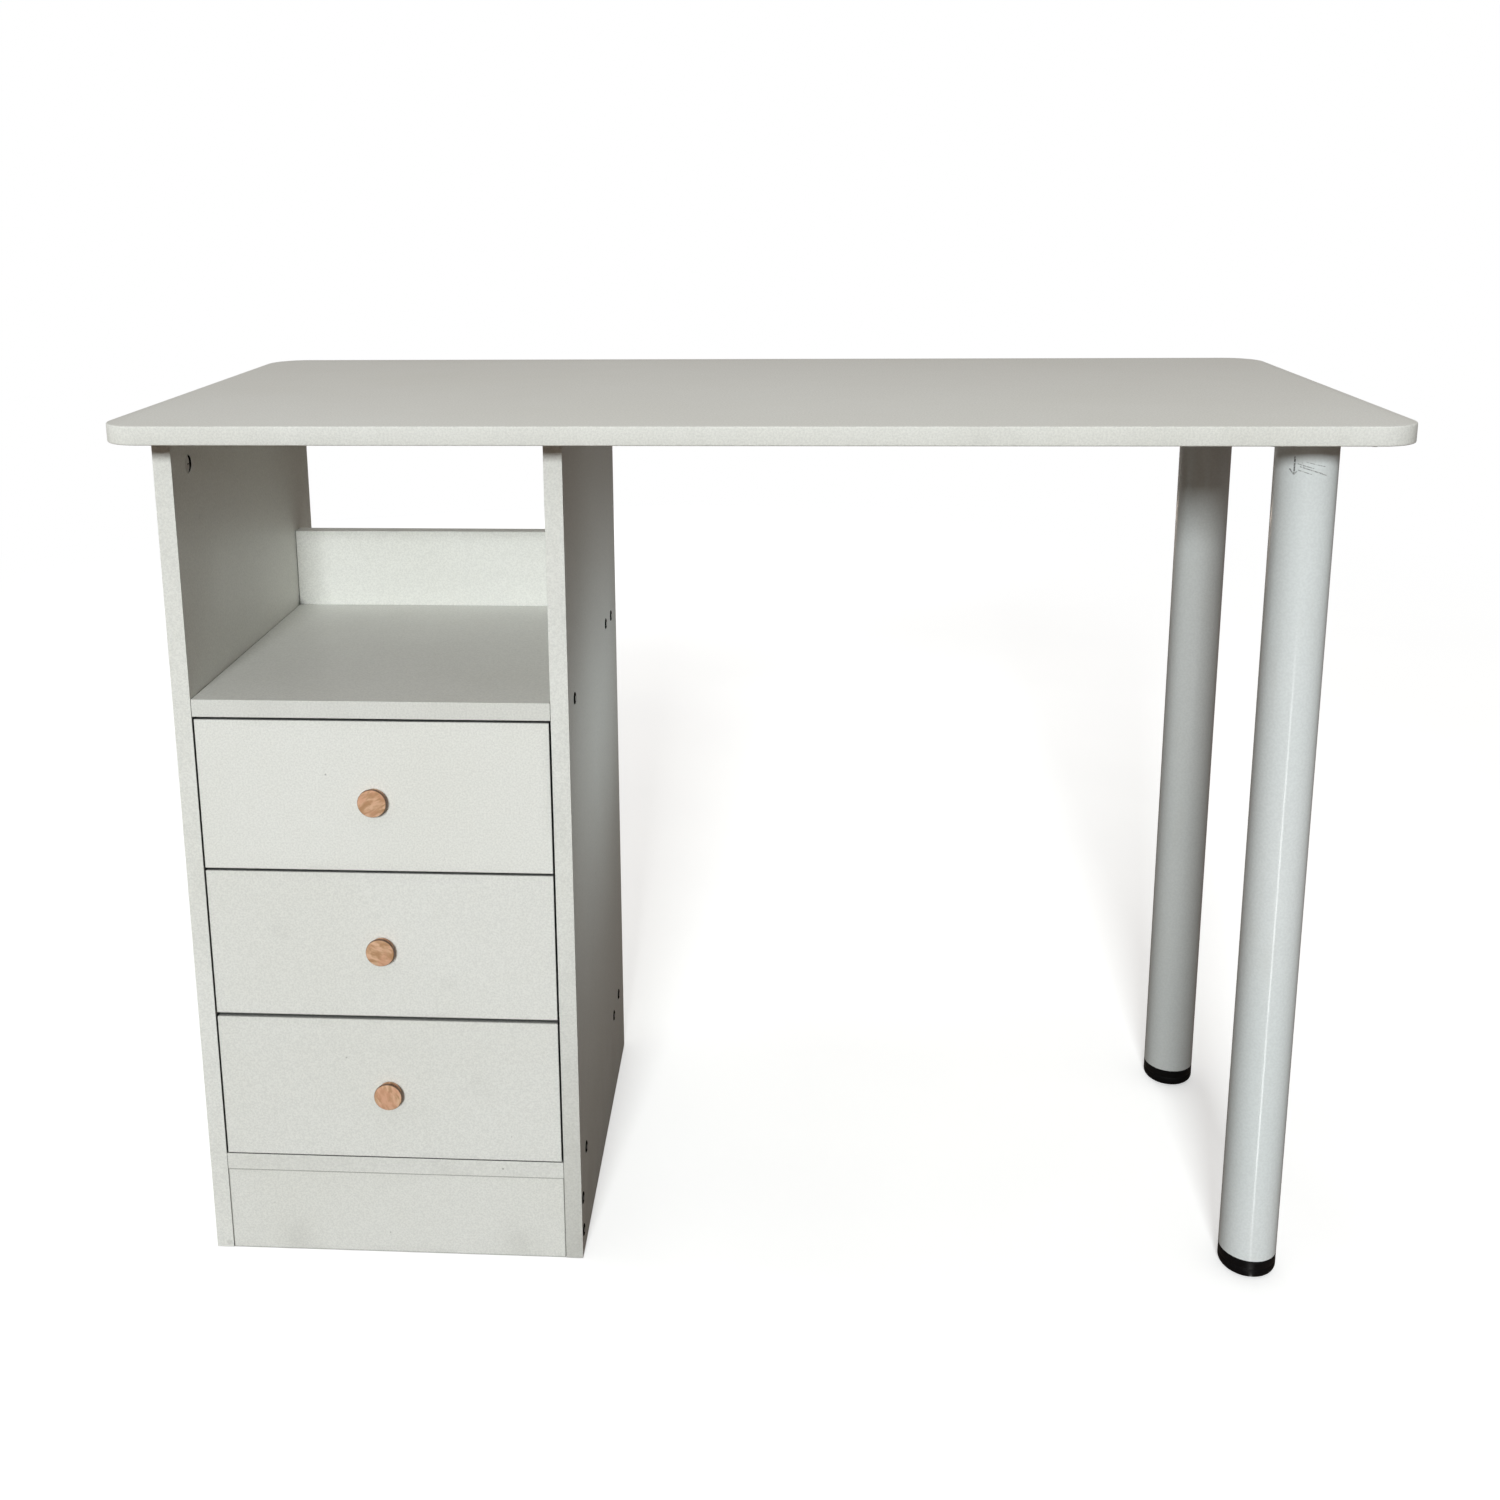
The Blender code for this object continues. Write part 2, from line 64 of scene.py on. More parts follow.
TUBE_WALL = 0.0015
TUBE_EDGE = 0.0003
FOOT_GAP = 0.0003
FOOT_CHAMFER = 0.001
FOOT_RIM = 0.0004
FOOT_ROUNDING = 0.006
FOOT_GROOVE_HEIGHT = 0.0040
FOOT_GROOVE_HALF_WIDTH = 0.0002
FOOT_GROOVE_DEPTH = 0.00015
FOOT_HOLLOW = 0.0010
RIBS = 3
RIB_PITCH = 0.0045
RIB_DEPTH = 0.0007
WELD_GAP = 0.0001
WELD_REACH = 0.0028

PLATE_SCREW_SPACING = 0.037
PLATE_SCREW_RADIUS = 0.0042
PLATE_SCREW_ROUNDING = 0.0016

KNOB_EDGE = 0.0009
KNOB_HEAD_THICKNESS = 0.0032
KNOB_NECK_RADIUS = 0.0062
KNOB_FOOT_RADIUS = 0.0102
KNOB_FOOT_THICKNESS = 0.0023
KNOB_FOOT_CHAMFER = 0.0003

BOLT_RADIUS = 0.0020
BOLT_CORE_RADIUS = 0.0016
BOLT_THREADS = 8
BOLT_PITCH = 0.0007
BOLT_HEAD_GAP = 0.0003
BOLT_HEAD_ROUNDING = 0.0015

SCREW_HEX = 0.0015
SCREW_RIM_RADIUS = 0.0052
SCREW_HEAD_RADIUS = 0.0047
SCREW_HEAD_SIDE = -0.0007
SCREW_NECK_RADIUS = 0.0034
SCREW_NECK_TOP = -0.0032
SCREW_SHANK_TOP = -0.0140
SCREW_RIDGE_RADIUS = 0.0026
SCREW_CORE_RADIUS = 0.0021
SCREW_RIDGES = 9
SCREW_RIDGE_PITCH = 0.0033
SCREW_LENGTH = 0.046
SCREW_HOLE_CLEARANCE = 0.0003

CAM_RADIUS = 0.0075
CAM_THICKNESS = 0.0124
CAM_FACE = -0.0004
CAM_CRESCENT_FLOOR = -0.0062

RUNNER_SHEET = 0.0012
RUNNER_GAP = 0.0003
ROLLER_RADIUS = 0.0053
ROLLER_EDGE = 0.0005
ROLLER_GAP = 0.0002
ROLLER_SETBACK = 0.009
# Where a roller starts and ends, out from its web. The rear one runs behind the cabinet runner's lip.
FRONT_ROLLER = (0.0004, 0.0070)
REAR_ROLLER = (0.0022, 0.0085)
AXLE_RADIUS = 0.0024
RIVET_RADIUS = 0.0022
RUNNER_SCREW_PLACES = (0.037, 0.101, 0.229)
RUNNER_SCREW_HEIGHT = 0.0145
CORNER_SCREW_SETBACK = 0.006
CORNER_SCREW_HEIGHTS = (0.030, 0.078)

# ---- Colours, linear ----
BOARD_WHITE = (0.800, 0.800, 0.757)
BOARD_WHITE_AGED = (0.765, 0.762, 0.705)
BACKING_PAPER = (0.400, 0.355, 0.315)
BACKING_SHADE = 0.86
# Dark colour of real grime, also used for painted shade.
GRIME_AND_PAINTED_SHADE = (0.16, 0.15, 0.13)
# Painted shade, near black, deep in narrow gaps.
GAP_PAINTED_SHADE = (0.022, 0.022, 0.024)
FOIL_WHITE = (0.80, 0.81, 0.775)
FOIL_GRAIN = (0.715, 0.715, 0.665)
HARDBOARD_BROWN = (0.20, 0.115, 0.055)
HARDBOARD_PALE = (0.34, 0.215, 0.115)
HARDBOARD_PAINT = (0.76, 0.76, 0.70)
HARDBOARD_PAINT_AGED = (0.69, 0.68, 0.60)
COAT_WHITE = (0.765, 0.795, 0.790)
COAT_WHITE_DULL = (0.730, 0.770, 0.765)
COAT_GRAIN = 0.62
COAT_DUST = (0.60, 0.60, 0.56)
COAT_NICK = (0.20, 0.20, 0.20)
COAT_SCRATCH = (0.055, 0.053, 0.050)
PLASTIC_BLACK = (0.0035, 0.0035, 0.0040)
PLASTIC_SCUFF = (0.08, 0.076, 0.072)
WOOD_LIGHT = (0.720, 0.465, 0.305)
WOOD_GRAIN = (0.470, 0.265, 0.140)
WOOD_FIGURE = (0.660, 0.350, 0.225)
WOOD_DARK = (0.470, 0.240, 0.110)
WOOD_RIM = (0.075, 0.038, 0.020)
WOOD_PAINTED_SHADE = (0.10, 0.05, 0.025)
ZINC = (0.46, 0.46, 0.45)
ZINC_CLOUD = (0.36, 0.35, 0.31)
CAST_GREY = (0.66, 0.65, 0.62)
CAST_CLOUD = (0.52, 0.51, 0.48)
CAST_RECESS_PAINTED_SHADE = (0.006, 0.006, 0.006)
# Painted glint and painted shade of the side screws' heads.
SCREW_PAINTED_GLINT = (0.92, 0.92, 0.90)
SCREW_PAINTED_GLINT_DIM = (0.72, 0.71, 0.68)
SCREW_PAINTED_SHADE = (0.005, 0.005, 0.005)
SCREW_PAINTED_SHADE_DEEP = (0.002, 0.002, 0.002)
FLOOR_PALE = (0.93, 0.93, 0.92)
FLOOR_CLOUD = (0.90, 0.90, 0.895)
FLOOR_UNSEEN = (0.165, 0.130, 0.106)


# ---- Materials ----
class Nodes:
    """A node tree that is built a node at a time."""

    def __init__(self, tree):
        self.tree = tree

    def put(self, socket, value):
        if isinstance(value, bpy.types.NodeSocket):
            self.tree.links.new(value, socket)
        elif isinstance(value, tuple) and socket.type == "RGBA":
            socket.default_value = (*value, 1.0)
        else:
            socket.default_value = value

    def node(self, kind, inputs, **settings):
        made = self.tree.nodes.new("ShaderNode" + kind)
        for key, value in settings.items():
            setattr(made, key, value)
        for key, value in inputs.items():
            self.put(made.inputs[key], value)
        return made

    def math(self, operation, a, b=0.0, c=0.0, clamp=False):
        return self.node("Math", {0: a, 1: b, 2: c}, operation=operation, use_clamp=clamp).outputs[0]

    def times(self, *factors):
        product = factors[0]
        for factor in factors[1:]:
            product = self.math("MULTIPLY", product, factor)
        return product

    def length(self, a, b):
        return self.math("SQRT", self.math("ADD", self.times(a, a), self.times(b, b)))

    def vector(self, operation, a, b=(0.0, 0.0, 0.0), result="Vector"):
        return self.node("VectorMath", {0: a, 1: b}, operation=operation).outputs[result]

    def axes(self, vector):
        return self.node("SeparateXYZ", {"Vector": vector}).outputs

    def mix(self, factor, a, b):
        return self.node("Mix", {0: factor, 6: a, 7: b}, data_type="RGBA").outputs[2]

    def scale(self, colour, factor):
        grey = self.node("CombineColor", {0: factor, 1: factor, 2: factor}).outputs[0]
        made = self.node("Mix", {0: 1.0, 6: colour, 7: grey}, data_type="RGBA", blend_type="MULTIPLY")
        return made.outputs[2]

    def ramp(self, value, low, high, out_low=0.0, out_high=1.0):
        """Runs smoothly from out_low to out_high as the value goes from low to high, and stays there."""
        ends = {"From Min": low, "From Max": high, "To Min": out_low, "To Max": out_high}
        made = self.node("MapRange", {"Value": value, **ends}, interpolation_type="SMOOTHSTEP")
        return made.outputs["Result"]

    def blend_shaders(self, factor, a, b):
        return self.node("MixShader", {0: factor, 1: a, 2: b}).outputs[0]


class Shader(Nodes):
    """A material whose nodes lead into a Principled BSDF."""

    def __init__(self, name):
        self.material = bpy.data.materials.new(name)
        self.material.use_nodes = True
        super().__init__(self.material.node_tree)
        self.principled = self.tree.nodes["Principled BSDF"]
        coords = self.node("TexCoord", {}).outputs
        self.place = coords["Object"]
        self.normal = coords["Normal"]

    def texture(self, place, scale, detail, rough, distortion=0.0):
        shape = {"Scale": scale, "Detail": detail, "Roughness": rough, "Distortion": distortion}
        return self.node("TexNoise", {"Vector": place, **shape}).outputs["Fac"]

    def noise(self, scale, detail=2.0, stretch=(1.0, 1.0, 1.0), shift=(0.0, 0.0, 0.0), rough=0.5):
        place = self.vector("MULTIPLY", self.vector("ADD", self.place, shift), stretch)
        return self.texture(place, scale, detail, rough)

    def bump(self, *layers):
        """Layers of (height, distance in metres), each on top of the last."""
        normal = None
        for height, distance in layers:
            made = self.node("Bump", {"Height": height, "Distance": distance, "Strength": 1.0})
            if normal:
                self.put(made.inputs["Normal"], normal)
            normal = made.outputs["Normal"]
        self.put(self.principled.inputs["Normal"], normal)

    def finish(self, **sockets):
        for key, value in sockets.items():
            self.put(self.principled.inputs[key.replace("_", " ")], value)
        return self.material

    def gap_shade(self, reach=0.012, dark=0.14, clear=0.50):
        """How much painted shade a spot gets: 1 deep in a narrow gap beside another piece, and 0 in the
        open.
        """
        open_share = self.node("AmbientOcclusion", {"Distance": reach}, samples=8).outputs["AO"]
        return self.ramp(open_share, dark, clear, 1.0, 0.0)

    def spot(self, across, up, radius, softness=0.45):
        """1 within the radius of a place in the X Z plane, and 0 outside it."""
        x, _, z = self.axes(self.place)[:3]
        apart = self.length(self.math("SUBTRACT", x, across), self.math("SUBTRACT", z, up))
        return self.ramp(apart, radius * (1 - softness), radius, 1.0, 0.0)

    def line(self, start, end, width):
        """1 on a straight line between two places in the X Z plane, and 0 off it."""
        a = (start[0], 0.0, start[1])
        run = (end[0] - start[0], 0.0, end[1] - start[1])
        flat = self.vector("MULTIPLY", self.place, (1.0, 0.0, 1.0))
        from_start = self.vector("SUBTRACT", flat, a)
        along = self.vector("DOT_PRODUCT", from_start, run, "Value")
        along = self.math("DIVIDE", along, run[0] ** 2 + run[2] ** 2, clamp=True)
        scaled = self.node("VectorMath", {0: run, "Scale": along}, operation="SCALE").outputs["Vector"]
        off = self.vector("DISTANCE", from_start, scaled, "Value")
        return self.ramp(off, width * 0.4, width, 1.0, 0.0)


def edge_distance(shader, low, high, thin, radius):
    """How far a place is inside the round-cornered outline of a board, seen along its thin axis."""
    place = shader.axes(shader.place)
    across = []
    for axis in range(3):
        if axis == thin:
            continue
        centre, half = (low[axis] + high[axis]) / 2, (high[axis] - low[axis]) / 2
        off = shader.math("ABSOLUTE", shader.math("SUBTRACT", place[axis], centre))
        across.append(shader.math("SUBTRACT", off, half - radius))
    a, b = across
    outer = shader.length(shader.math("MAXIMUM", a, 0.0), shader.math("MAXIMUM", b, 0.0))
    inner = shader.math("MINIMUM", shader.math("MAXIMUM", a, b), 0.0)
    signed = shader.math("SUBTRACT", shader.math("ADD", outer, inner), radius)
    return shader.times(signed, -1.0)


def board_material(
    name,
    low,
    high,
    radius=BOARD_CORNER_RADIUS,
    painted_light_tone=1.0,
    spots=(),
    smudges_and_painted_shade=(),
    backing=None,
    joint=0.0,
    painted_edge_shade=0.0,
):
    """White melamine: a pearl texture, bands round the edges, light handling marks and a little grime. Light
    and shade are painted too: a tone per board, whiter where more light falls and greyer in shade, near
    black deep in narrow gaps, and where given, shade low on the edges and in soft patches.
    """
    s = Shader(name)
    sizes = [b - a for a, b in zip(low, high)]
    thin = sizes.index(min(sizes))
    shift = (low[0] * 7.0 + 3.0, low[2] * 11.0, high[1] * 5.0)
    face = s.ramp(s.math("ABSOLUTE", s.axes(s.normal)[thin]), 0.6, 0.9)
    edge = s.math("SUBTRACT", 1.0, face)
    inside = edge_distance(s, low, high, thin, radius)

    clouds = s.noise(5.0, 3.0, shift=shift)
    mottle = s.noise(60.0, 4.0, shift=shift, rough=0.65)
    pearl = s.noise(620.0, 3.0, shift=shift, rough=0.7)
    handled = s.noise(11.0, 5.0, stretch=(1.0, 1.0, 0.6), shift=shift, rough=0.7)

    # The tone paints light and shade: it scales the board's white to how much light falls on it.
    white = tuple(c * painted_light_tone for c in BOARD_WHITE)
    aged = tuple(c * painted_light_tone for c in BOARD_WHITE_AGED)
    colour = s.mix(s.ramp(clouds, 0.35, 0.75, 0.0, 0.55), white, aged)
    colour = s.mix(s.ramp(mottle, 0.35, 0.75, 0.0, 0.20), colour, aged)
    colour = s.scale(colour, s.ramp(pearl, 0.32, 0.68, 0.910, 1.055))

    seam = s.ramp(s.math("ABSOLUTE", s.math("SUBTRACT", inside, BAND_THICKNESS)), 0.00004, 0.00014, 1.0, 0.0)
    colour = s.mix(s.times(seam, face, 0.32), colour, GRIME_AND_PAINTED_SHADE)
    wear_and_painted_glint = s.times(s.ramp(inside, 0.0, 0.010, 1.0, 0.0), s.ramp(handled, 0.42, 0.68))
    colour = s.mix(s.times(wear_and_painted_glint, 0.07), colour, GRIME_AND_PAINTED_SHADE)
    scuff = s.ramp(s.noise(170.0, 3.0, (1.0, 1.0, 0.25), shift), 0.735, 0.80)
    colour = s.mix(s.times(scuff, face, 0.16), colour, GRIME_AND_PAINTED_SHADE)
    for across, up, size, depth in spots:
        colour = s.mix(s.times(s.spot(across, up, size), depth), colour, GRIME_AND_PAINTED_SHADE)
    # Soft patches: real smudges, and on the right panel painted shade low down.
    for across, up, size, depth in smudges_and_painted_shade:
        soft = s.times(s.spot(across, up, size, 0.95), s.ramp(handled, 0.36, 0.62))
        colour = s.mix(s.times(soft, depth), colour, GRIME_AND_PAINTED_SHADE)
    # Painted shade on the board's edges, darker towards the bottom.
    if painted_edge_shade:
        low_down = s.ramp(s.axes(s.place)[2], 0.0, 0.36, painted_edge_shade, 0.0)
        colour = s.mix(s.times(edge, low_down), colour, GRIME_AND_PAINTED_SHADE)
    if joint:
        dust = s.ramp(inside, 0.0004, 0.0010, 1.0, 0.0)
        colour = s.mix(s.times(dust, face, joint), colour, GRIME_AND_PAINTED_SHADE)
    if backing:
        underside = s.ramp(s.axes(s.normal)[2], -0.9, -0.6, 1.0, 0.0)
        shade = tuple(c * BACKING_SHADE for c in backing)
        colour = s.mix(underside, colour, s.mix(s.ramp(mottle, 0.35, 0.70), backing, shade))
    # Painted shade: deep in narrow gaps beside other pieces the colour goes nearly black.
    colour = s.mix(s.times(s.gap_shade(), 0.93), colour, GAP_PAINTED_SHADE)

    rough = s.math("ADD", s.ramp(handled, 0.3, 0.7, 0.37, 0.47), s.ramp(pearl, 0.3, 0.7, -0.02, 0.03))
    rough = s.math("ADD", rough, s.times(edge, 0.06))
    band_ripple = s.noise(260.0, 2.0, shift=shift)
    s.bump((clouds, 0.0006), (band_ripple, 0.00002), (pearl, 0.00003))
    return s.finish(Base_Color=colour, Roughness=rough, Specular_IOR_Level=0.42)


def drawer_board_material():
    """White foil on thin board, with a faint printed grain along the board."""
    s = Shader("Drawer_board_foil")
    grain = s.noise(70.0, 5.0, stretch=(8.0, 0.6, 8.0), rough=0.65)
    clouds = s.noise(9.0, 3.0)
    colour = s.mix(s.ramp(grain, 0.40, 0.70, 0.0, 0.5), FOIL_WHITE, FOIL_GRAIN)
    colour = s.mix(s.ramp(clouds, 0.4, 0.7, 0.0, 0.25), colour, BOARD_WHITE_AGED)
    rough = s.ramp(grain, 0.3, 0.7, 0.48, 0.60)
    s.bump((grain, 0.00003), (s.noise(900.0), 0.00001))
    return s.finish(Base_Color=colour, Roughness=rough)


def hardboard_material():
    """Thin hardboard: smooth white paint above, brown matted fibre below and on its edges."""
    s = Shader("Hardboard")
    fibre = s.noise(420.0, 5.0, stretch=(1.0, 0.45, 1.0), rough=0.7)
    clouds = s.noise(14.0, 4.0)
    painted = s.ramp(s.axes(s.normal)[2], 0.5, 0.8)
    brown = s.mix(s.ramp(fibre, 0.35, 0.7), HARDBOARD_BROWN, HARDBOARD_PALE)
    white = s.mix(s.ramp(clouds, 0.4, 0.7, 0.0, 0.6), HARDBOARD_PAINT, HARDBOARD_PAINT_AGED)
    white = s.mix(s.ramp(fibre, 0.60, 0.78, 0.0, 0.16), white, HARDBOARD_BROWN)
    colour = s.mix(painted, brown, white)
    rough = s.ramp(fibre, 0.3, 0.7, 0.50, 0.72)
    s.bump((fibre, 0.00005))
    return s.finish(Base_Color=colour, Roughness=rough)


def coat_material(name, scratches=(), painted_light_tone=(1.0, 1.0, 1.0), painted_foot_shade=0.0):
    """White powder coat on steel: a fine orange peel, a clear gloss, dust, and the listed scratches. A tone
    paints light and shade over the whole coat, and where asked, shade is painted darker towards the bottom.
    """
    s = Shader(name)
    peel = s.noise(520.0, 2.0)
    clouds = s.noise(7.0, 3.0, stretch=(1.0, 1.0, 0.5))
    film = s.noise(45.0, 4.0, stretch=(1.0, 1.0, 0.25), rough=0.6)
    # The tone paints light and shade over the whole coat.
    fresh = tuple(c * t for c, t in zip(COAT_WHITE, painted_light_tone))
    dull = tuple(c * t for c, t in zip(COAT_WHITE_DULL, painted_light_tone))
    colour = s.mix(s.ramp(clouds, 0.35, 0.7), fresh, dull)
    colour = s.mix(s.ramp(peel, 0.33, 0.67, 0.0, 0.16), colour, tuple(c * COAT_GRAIN for c in dull))
    if painted_foot_shade:
        # Painted shade, darker towards the bottom of the leg.
        colour = s.mix(s.ramp(s.axes(s.place)[2], 0.05, 0.60, painted_foot_shade, 0.0), colour, GRIME_AND_PAINTED_SHADE)
    colour = s.mix(s.ramp(film, 0.5, 0.8, 0.0, 0.22), colour, COAT_DUST)
    nick = s.noise(240.0, 3.0, rough=0.6)
    colour = s.mix(s.ramp(nick, 0.77, 0.83, 0.0, 0.45), colour, COAT_NICK)
    if scratches:
        wear_and_painted_glint = 0.0
        for start, end, width, depth in scratches:
            wear_and_painted_glint = s.math("MAXIMUM", wear_and_painted_glint, s.times(s.line(start, end, width), depth))
        front = s.ramp(s.axes(s.normal)[1], -0.2, 0.1, 1.0, 0.0)
        broken = s.ramp(s.noise(700.0, 3.0), 0.36, 0.56, 0.25, 1.0)
        colour = s.mix(s.times(wear_and_painted_glint, front, broken), colour, COAT_SCRATCH)
    rough = s.ramp(film, 0.35, 0.75, 0.34, 0.44)
    gloss = s.ramp(film, 0.35, 0.75, 0.035, 0.065)
    s.bump((clouds, 0.0003), (peel, 0.00003))
    ripple = {"Height": s.noise(160.0, 2.0), "Distance": 0.0000015, "Strength": 1.0}
    wave = s.node("Bump", ripple).outputs["Normal"]
    coats = {"Coat_Weight": 0.85, "Coat_Roughness": gloss, "Coat_Normal": wave}
    return s.finish(Base_Color=colour, Roughness=rough, Specular_IOR_Level=0.3, **coats)


def plastic_material():
    """Moulded black plastic: a fine spark texture, with grey scuffs low down where it meets the floor."""
    s = Shader("Black_plastic")
    spark = s.noise(1500.0, 2.0)
    scuff = s.noise(160.0, 5.0, stretch=(1.0, 1.0, 0.5), rough=0.7)
    low_down = s.ramp(s.axes(s.place)[2], 0.0, 0.003, 1.0, 0.12)
    grey = s.times(s.ramp(scuff, 0.52, 0.74), low_down, 0.22)
    colour = s.mix(grey, PLASTIC_BLACK, PLASTIC_SCUFF)
    rough = s.math("ADD", s.ramp(scuff, 0.3, 0.7, 0.36, 0.52), s.ramp(spark, 0.3, 0.7, -0.03, 0.03))
    s.bump((spark, 0.000016))
    return s.finish(Base_Color=colour, Roughness=rough, Specular_IOR_Level=0.28)


def knob_material(name, centre, tilt):
    """Turned beech under matt lacquer: straight grain across the face, short dark flecks, a dark rim, and
    painted shade in the groove behind the head and where the foot meets the drawer front.
    """
    s = Shader(name)
    local = s.vector("SUBTRACT", s.place, tuple(centre))
    turned = s.node("VectorRotate", {"Vector": local, "Angle": tilt}, rotation_type="Y_AXIS")
    x, y, z = s.axes(turned.outputs["Vector"])[:3]
    along = s.node("CombineXYZ", {"X": s.times(x, 0.38), "Y": s.times(y, 0.6), "Z": z}).outputs[0]
    shifted = s.vector("ADD", along, (centre[2], centre[2] * 3.0, 0.0))
    grain = s.texture(shifted, 260.0, 4.0, 0.55, 0.4)
    fleck = s.texture(shifted, 1500.0, 3.0, 0.6)
    broad = s.noise(75.0, 2.0, shift=(0.0, 0.0, centre[2] * 5.0))
    colour = s.mix(s.ramp(grain, 0.38, 0.60), WOOD_LIGHT, WOOD_GRAIN)
    colour = s.mix(s.ramp(broad, 0.40, 0.62, 0.0, 0.65), colour, WOOD_FIGURE)
    colour = s.mix(s.ramp(fleck, 0.58, 0.72, 0.0, 0.50), colour, WOOD_DARK)
    colour = s.mix(s.ramp(s.length(x, z), 0.01165, 0.01205, 0.0, 0.88), colour, WOOD_RIM)
    # Painted shade in the knob's groove and where it meets the drawer front.
    colour = s.mix(s.times(s.gap_shade(0.006, 0.2, 0.6), 0.7), colour, WOOD_PAINTED_SHADE)
    rough = s.ramp(grain, 0.3, 0.7, 0.42, 0.55)
    s.bump((grain, 0.00005), (fleck, 0.00003))
    return s.finish(Base_Color=colour, Roughness=rough, Specular_IOR_Level=0.38)


def zinc_material():
    """Zinc plate: dull metal with a cloudy film and fine scratches."""
    s = Shader("Zinc_plate")
    cloud = s.noise(350.0, 4.0, rough=0.6)
    fine = s.noise(2600.0, 2.0, stretch=(0.3, 1.0, 1.0))
    colour = s.mix(s.ramp(cloud, 0.35, 0.7), ZINC, ZINC_CLOUD)
    rough = s.ramp(fine, 0.3, 0.7, 0.26, 0.46)
    s.bump((fine, 0.000008))
    return s.finish(Base_Color=colour, Roughness=rough, Metallic=1.0)


def cast_material():
    """Die-cast zinc of the cam locks: dull, pale and finely grained, with painted shade, near black and
    without shine, in everything sunk below the face.
    """
    s = Shader("Cast_zinc")
    grain = s.noise(1400.0, 3.0, rough=0.6)
    cloud = s.noise(260.0, 3.0)
    colour = s.mix(s.ramp(cloud, 0.35, 0.7, 0.0, 0.5), CAST_GREY, CAST_CLOUD)
    # Painted shade: everything sunk below the face is near black and does not shine.
    face = s.ramp(s.axes(s.place)[2], -0.00055, -0.00036)
    colour = s.mix(face, CAST_RECESS_PAINTED_SHADE, colour)
    shine = s.times(face, 0.5)
    s.bump((grain, 0.00002))
    rough = s.ramp(grain, 0.3, 0.7, 0.42, 0.56)
    return s.finish(Base_Color=colour, Roughness=rough, Metallic=0.1, Specular_IOR_Level=shine)


def screw_material():
    """A side screw, in its own frame: a head painted dark as shade, with a painted glint in its middle, on a
    plated shank.
    """
    s = Shader("Screw_zinc")
    x, y, z = s.axes(s.place)[:3]
    film = s.noise(900.0, 3.0, rough=0.6)
    cloud = s.ramp(film, 0.35, 0.7)
    # Painted glint in the middle of the head. The rest of the head is painted shade, near black, with no
    # shine.
    wear_and_painted_glint = s.times(s.ramp(s.length(x, y), 0.0019, 0.0024, 1.0, 0.0), s.ramp(z, -0.0012, -0.0006))
    bright = s.mix(cloud, SCREW_PAINTED_GLINT, SCREW_PAINTED_GLINT_DIM)
    dark = s.mix(cloud, SCREW_PAINTED_SHADE, SCREW_PAINTED_SHADE_DEEP)
    head = s.ramp(z, -0.0036, -0.0030)
    shank = s.math("SUBTRACT", 1.0, head)
    colour = s.mix(head, ZINC, s.mix(wear_and_painted_glint, dark, bright))
    s.bump((film, 0.00001))
    rough = s.ramp(film, 0.3, 0.7, 0.30, 0.48)
    shine = s.math("MAXIMUM", wear_and_painted_glint, shank)
    metal = s.times(shank, 0.8)
    return s.finish(Base_Color=colour, Roughness=rough, Metallic=metal, Specular_IOR_Level=shine)


# ---- Meshes ----
def link(name, mesh, finish, smooth_angle=40.0):
    obj = bpy.data.objects.new(name, mesh)
    bpy.context.scene.collection.objects.link(obj)
    mesh.materials.append(finish)
    mesh.polygons.foreach_set("use_smooth", [True] * len(mesh.polygons))
    mesh.set_sharp_from_angle(angle=math.radians(smooth_angle))
    return obj


def value_at(value, angle):
    return value(angle) if callable(value) else value


def rings_into(bm, rings, segments, matrix, closed=False):
    """A closed turned solid from (radius, height) rings. Either may be a function of the angle."""
    made = []
    for radius, height in rings:
        if radius == 0.0:
            made.append([bm.verts.new(matrix @ Vector((0.0, 0.0, value_at(height, 0.0))))])
            continue
        ring = []
        for i in range(segments):
            angle = 2 * math.pi * i / segments
            r = value_at(radius, angle)
            corner = Vector((r * math.cos(angle), r * math.sin(angle), value_at(height, angle)))
            ring.append(bm.verts.new(matrix @ corner))
        made.append(ring)
    pairs = list(zip(made, made[1:]))
    if closed:
        pairs.append((made[-1], made[0]))
    for upper, lower in pairs:
        for i in range(segments):
            j = (i + 1) % segments
            if len(upper) == 1:
                bm.faces.new((upper[0], lower[i], lower[j]))
            elif len(lower) == 1:
                bm.faces.new((upper[i], lower[0], upper[j]))
            else:
                bm.faces.new((upper[i], lower[i], lower[j], upper[j]))


def to_mesh(name, bm):
    bmesh.ops.recalc_face_normals(bm, faces=bm.faces)
    mesh = bpy.data.meshes.new(name)
    bm.to_mesh(mesh)
    bm.free()
    return mesh


def turned_mesh(name, rings, segments, matrices, closed=False):
    bm = bmesh.new()
    for matrix in matrices:
        rings_into(bm, rings, segments, matrix, closed)
    return to_mesh(name, bm)


def arc(centre, radius, start, end, steps):
    """Points on an arc of a turned outline, in degrees from outwards towards up."""
    angles = [math.radians(start + (end - start) * i / steps) for i in range(steps + 1)]
    return [(centre[0] + radius * math.cos(a), centre[1] + radius * math.sin(a)) for a in angles]


def facing(spot, direction):
    """A placement at the spot whose +Z points in the direction."""
    return Matrix.Translation(spot) @ Vector(direction).to_track_quat("Z", "Y").to_matrix().to_4x4()


def hexagon(angle):
    """The distance from the middle to the side of a hexagonal socket."""
    turn = (angle + math.pi / 6) % (math.pi / 3) - math.pi / 6
    return SCREW_HEX / math.cos(turn)


